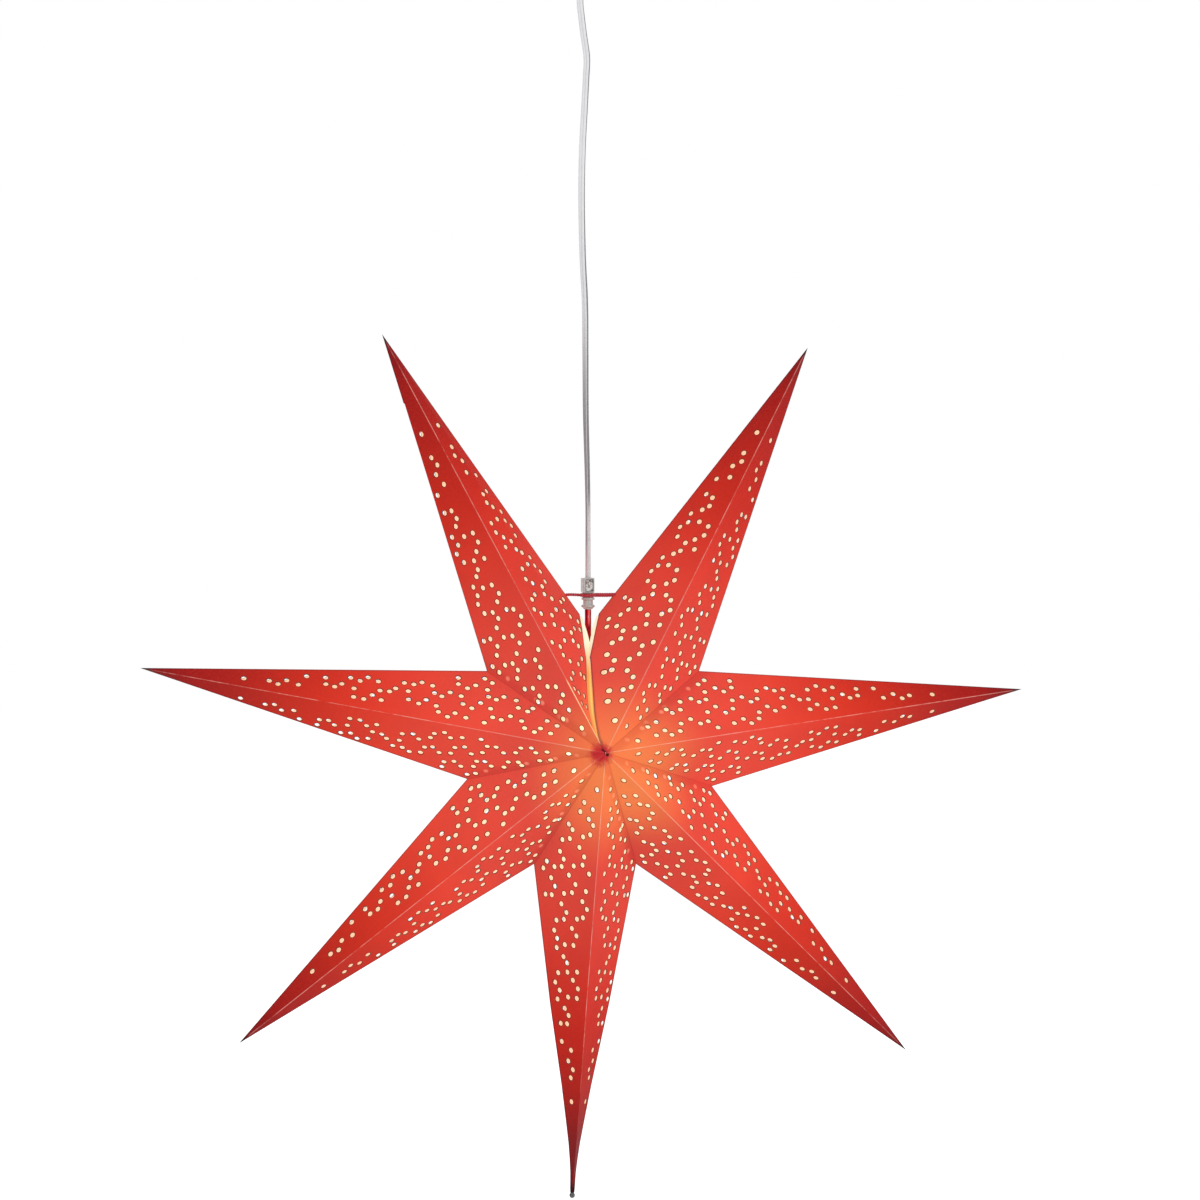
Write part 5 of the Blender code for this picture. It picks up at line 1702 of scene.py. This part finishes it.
def terminal(look):
    """The two-way terminal block, with the wells for its screws."""
    top = block_top
    bm = block((-0.0090, -0.0055, top - 0.0120), (0.0090, 0.0055, top), 0.0007, 3)
    bm = carved(bm, block((-0.0006, -0.0070, top - 0.0140), (0.0006, 0.0070, top - 0.0095)))
    for at in (-0.0045, 0.0045):
        bm = carved(bm, bar((at, -0.008, top - 0.006), (at, 0.008, top - 0.006), 0.0017, 24))
        bm = carved(bm, bar((at, 0, top - 0.014), (at, 0, top - 0.006), 0.0017, 24))
    piece = add_piece("wire_block", bm, [look], 30.0)
    stands_for(piece, "ceiling", "terminal_block")


def inner_lead(look):
    """The flex inside the cup."""
    rise = lead_top - lead_foot
    drops = ((0, 0), (0, rise / 4), (0.00175, rise / 2), (0, rise * 3 / 4), (0, rise))
    places = smooth_route([Vector((x, 0, lead_top - drop)) for x, drop in drops], 24)
    ring = twin_ring(0.00085, 0.00150, 120, 8)
    piece = add_piece("inner_lead", swept(places, ring), [look], 60.0)
    mark(piece, "across", [spot[0] for _ in places for spot in ring])
    stands_for(piece, "ceiling", "inner_cord")


def boot(look):
    """The ball that seats in the cup, and the ribbed boot below it."""
    neck, tip, ribs = 0.0092, 0.0330, 4
    pitch = (tip - neck) / ribs
    outline = [(0, 0.0070), *arc(0, 0, 0.0070, 80, -58, 26), (0.0034, -0.0062), (0.0034, -0.0086)]
    rib_steps = (
        (-0.0003, 0), (0, 0.08), (-0.0001, 0.50), (-0.0003, 0.62), (-0.0008, 0.72), (-0.0008, 0.92)
    )
    for rib in range(ribs):
        radius = 0.0054 - 0.0004 * rib
        top = -neck - pitch * rib
        steps = rib_steps if rib < ribs - 1 else rib_steps[:4]
        outline += [(radius + grow, top - pitch * share) for grow, share in steps]
    outline += outline_mm(
        -tip, (3.8, -0.4), (3.6, 0), (3.35, 0), (2.75, -1.6), (2.75, -2.6), (0, -2.6)
    )
    bm = turned(eased(outline, 0.0003), Vector((0, 0, ball_middle)))
    for rib in range(ribs - 1):
        for step in range(4):
            angle = math.tau * (step + 0.5 * (rib % 2)) / 4
            out = Vector((math.cos(angle), math.sin(angle), 0))
            height = ball_middle - neck - pitch * (rib + 0.82)
            start = Vector((0, 0, height)) + out * 0.0036
            bm = carved(bm, bar(start, start + out * 0.0014, pitch * 0.10, 12), "UNION")
    stands_for(add_piece("ribbed_boot", bm, [look], 32.0), "strain_relief", "strain_relief")


# Floor, walls of light and lamps.
def seen_by_camera(shader):
    """One where a ray comes from the camera, straight, mirrored or through glass."""
    rays = node(shader.id_data, "ShaderNodeLightPath").outputs
    return most_of(rays["Is Glossy Ray"], rays["Is Transmission Ray"], rays["Is Camera Ray"])


def studio():
    """A pale floor, a white surround that the camera sees, and three lamps."""
    plain = {"Roughness": 0.8, "Specular IOR Level": 0.2, "Emission Strength": 1.0}
    look, shader, place = finish("studio_floor", plain)
    grain = varied(speckle(place, 30.0, 3.0, 0.5))
    pale = blend(grain, (0.86, 0.86, 0.86), (0.88, 0.88, 0.88))
    glow = light(seen_by_camera(shader), (0.50, 0.50, 0.50))
    plug(shader, Base_Color=pale, Emission_Color=glow)
    bm = bmesh.new()
    lay = Matrix.Translation((0, 2.0, floor_height))
    bmesh.ops.create_grid(bm, x_segments=2, y_segments=2, size=6.0, matrix=lay)
    add_piece("floor", bm, [look], None)

    world = bpy.data.worlds.new("studio")
    bpy.context.scene.world = world
    world.use_nodes = True
    back = world.node_tree.nodes["Background"]
    plug(back, Color=blend(seen_by_camera(back), (0.62, 0.62, 0.63), (1.0, 1.0, 1.0)))

    for name, spot, size, power in (
        ("key", (-1.6, -2.2, 0.9), 1.6, 15.0),
        ("fill", (2.0, -1.9, -0.3), 1.8, 18.0),
        ("back", (0.4, 2.4, 0.6), 1.8, 14.0),
    ):
        lamp = bpy.data.lights.new(name, "AREA")
        lamp.size = size
        lamp.energy = power
        seat = new_object(name, lamp)
        seat.location = spot
        seat.rotation_euler = (star_middle - Vector(spot)).to_track_quat("-Z", "Y").to_euler()


place_camera()
flex_look = flex_skin()
flat_flex, flex_places, flex_length = flex(flex_look)

card_finishes = [red_card(), punched_rim(), cream_card(), cut_card()]
rim_inside = card_finishes[rim_slot].copy()
rim_inside.name = "punched_edge"
card_finishes += [rim_inside, hem_card()]
for number in range(card_count):
    star_card(number, card_finishes)
tip_bead(metal("bead_metal", (0.10, 0.098, 0.096), (0.03, 0.028, 0.028), 0.14))

sleeve(red_tube_skin())
clip(plastic("clip_plastic", (0.42, 0.43, 0.40), (0.56, 0.56, 0.53), 0.24, 0.00003, 0.2))
jaw(jaw_skin())
string(thread_skin())

holder_plastic = plastic("holder_plastic", (0.80, 0.79, 0.76), (0.84, 0.83, 0.80), 0.34)
holder_brass = metal("holder_brass", (0.72, 0.52, 0.24), (0.42, 0.30, 0.15), 0.24)
ceramic = plastic("holder_ceramic", (0.78, 0.76, 0.71), (0.84, 0.82, 0.78), 0.42, 0.00004, 0.1)
lampholder(holder_plastic, ceramic, holder_brass)
bulb(
    glowing_glass(),
    stem_skin(),
    metal("bulb_brass", (0.76, 0.58, 0.30), (0.48, 0.36, 0.20), 0.22),
    metal("solder", (0.62, 0.62, 0.63), (0.36, 0.36, 0.38), 0.34),
    hot_wire(),
)

cup(plastic("white_metal", (0.80, 0.80, 0.79), (0.84, 0.84, 0.83), 0.30, 0.00002, 0.35))
plate(metal("zinc", (0.60, 0.61, 0.62), (0.36, 0.37, 0.38), 0.30))
fixings(
    metal("zinc_screw", (0.70, 0.69, 0.66), (0.42, 0.40, 0.37), 0.26),
    plastic("white_screw", (0.76, 0.76, 0.75), (0.81, 0.81, 0.80), 0.32),
)
terminal(plastic("terminal_plastic", (0.74, 0.73, 0.68), (0.80, 0.79, 0.75), 0.45))
inner_lead(flex_look)
boot(plastic("boot", (0.76, 0.76, 0.74), (0.81, 0.81, 0.79), 0.50, 0.00005, 0.3))
studio()

scene = bpy.context.scene
scene.view_settings.view_transform = "Standard"
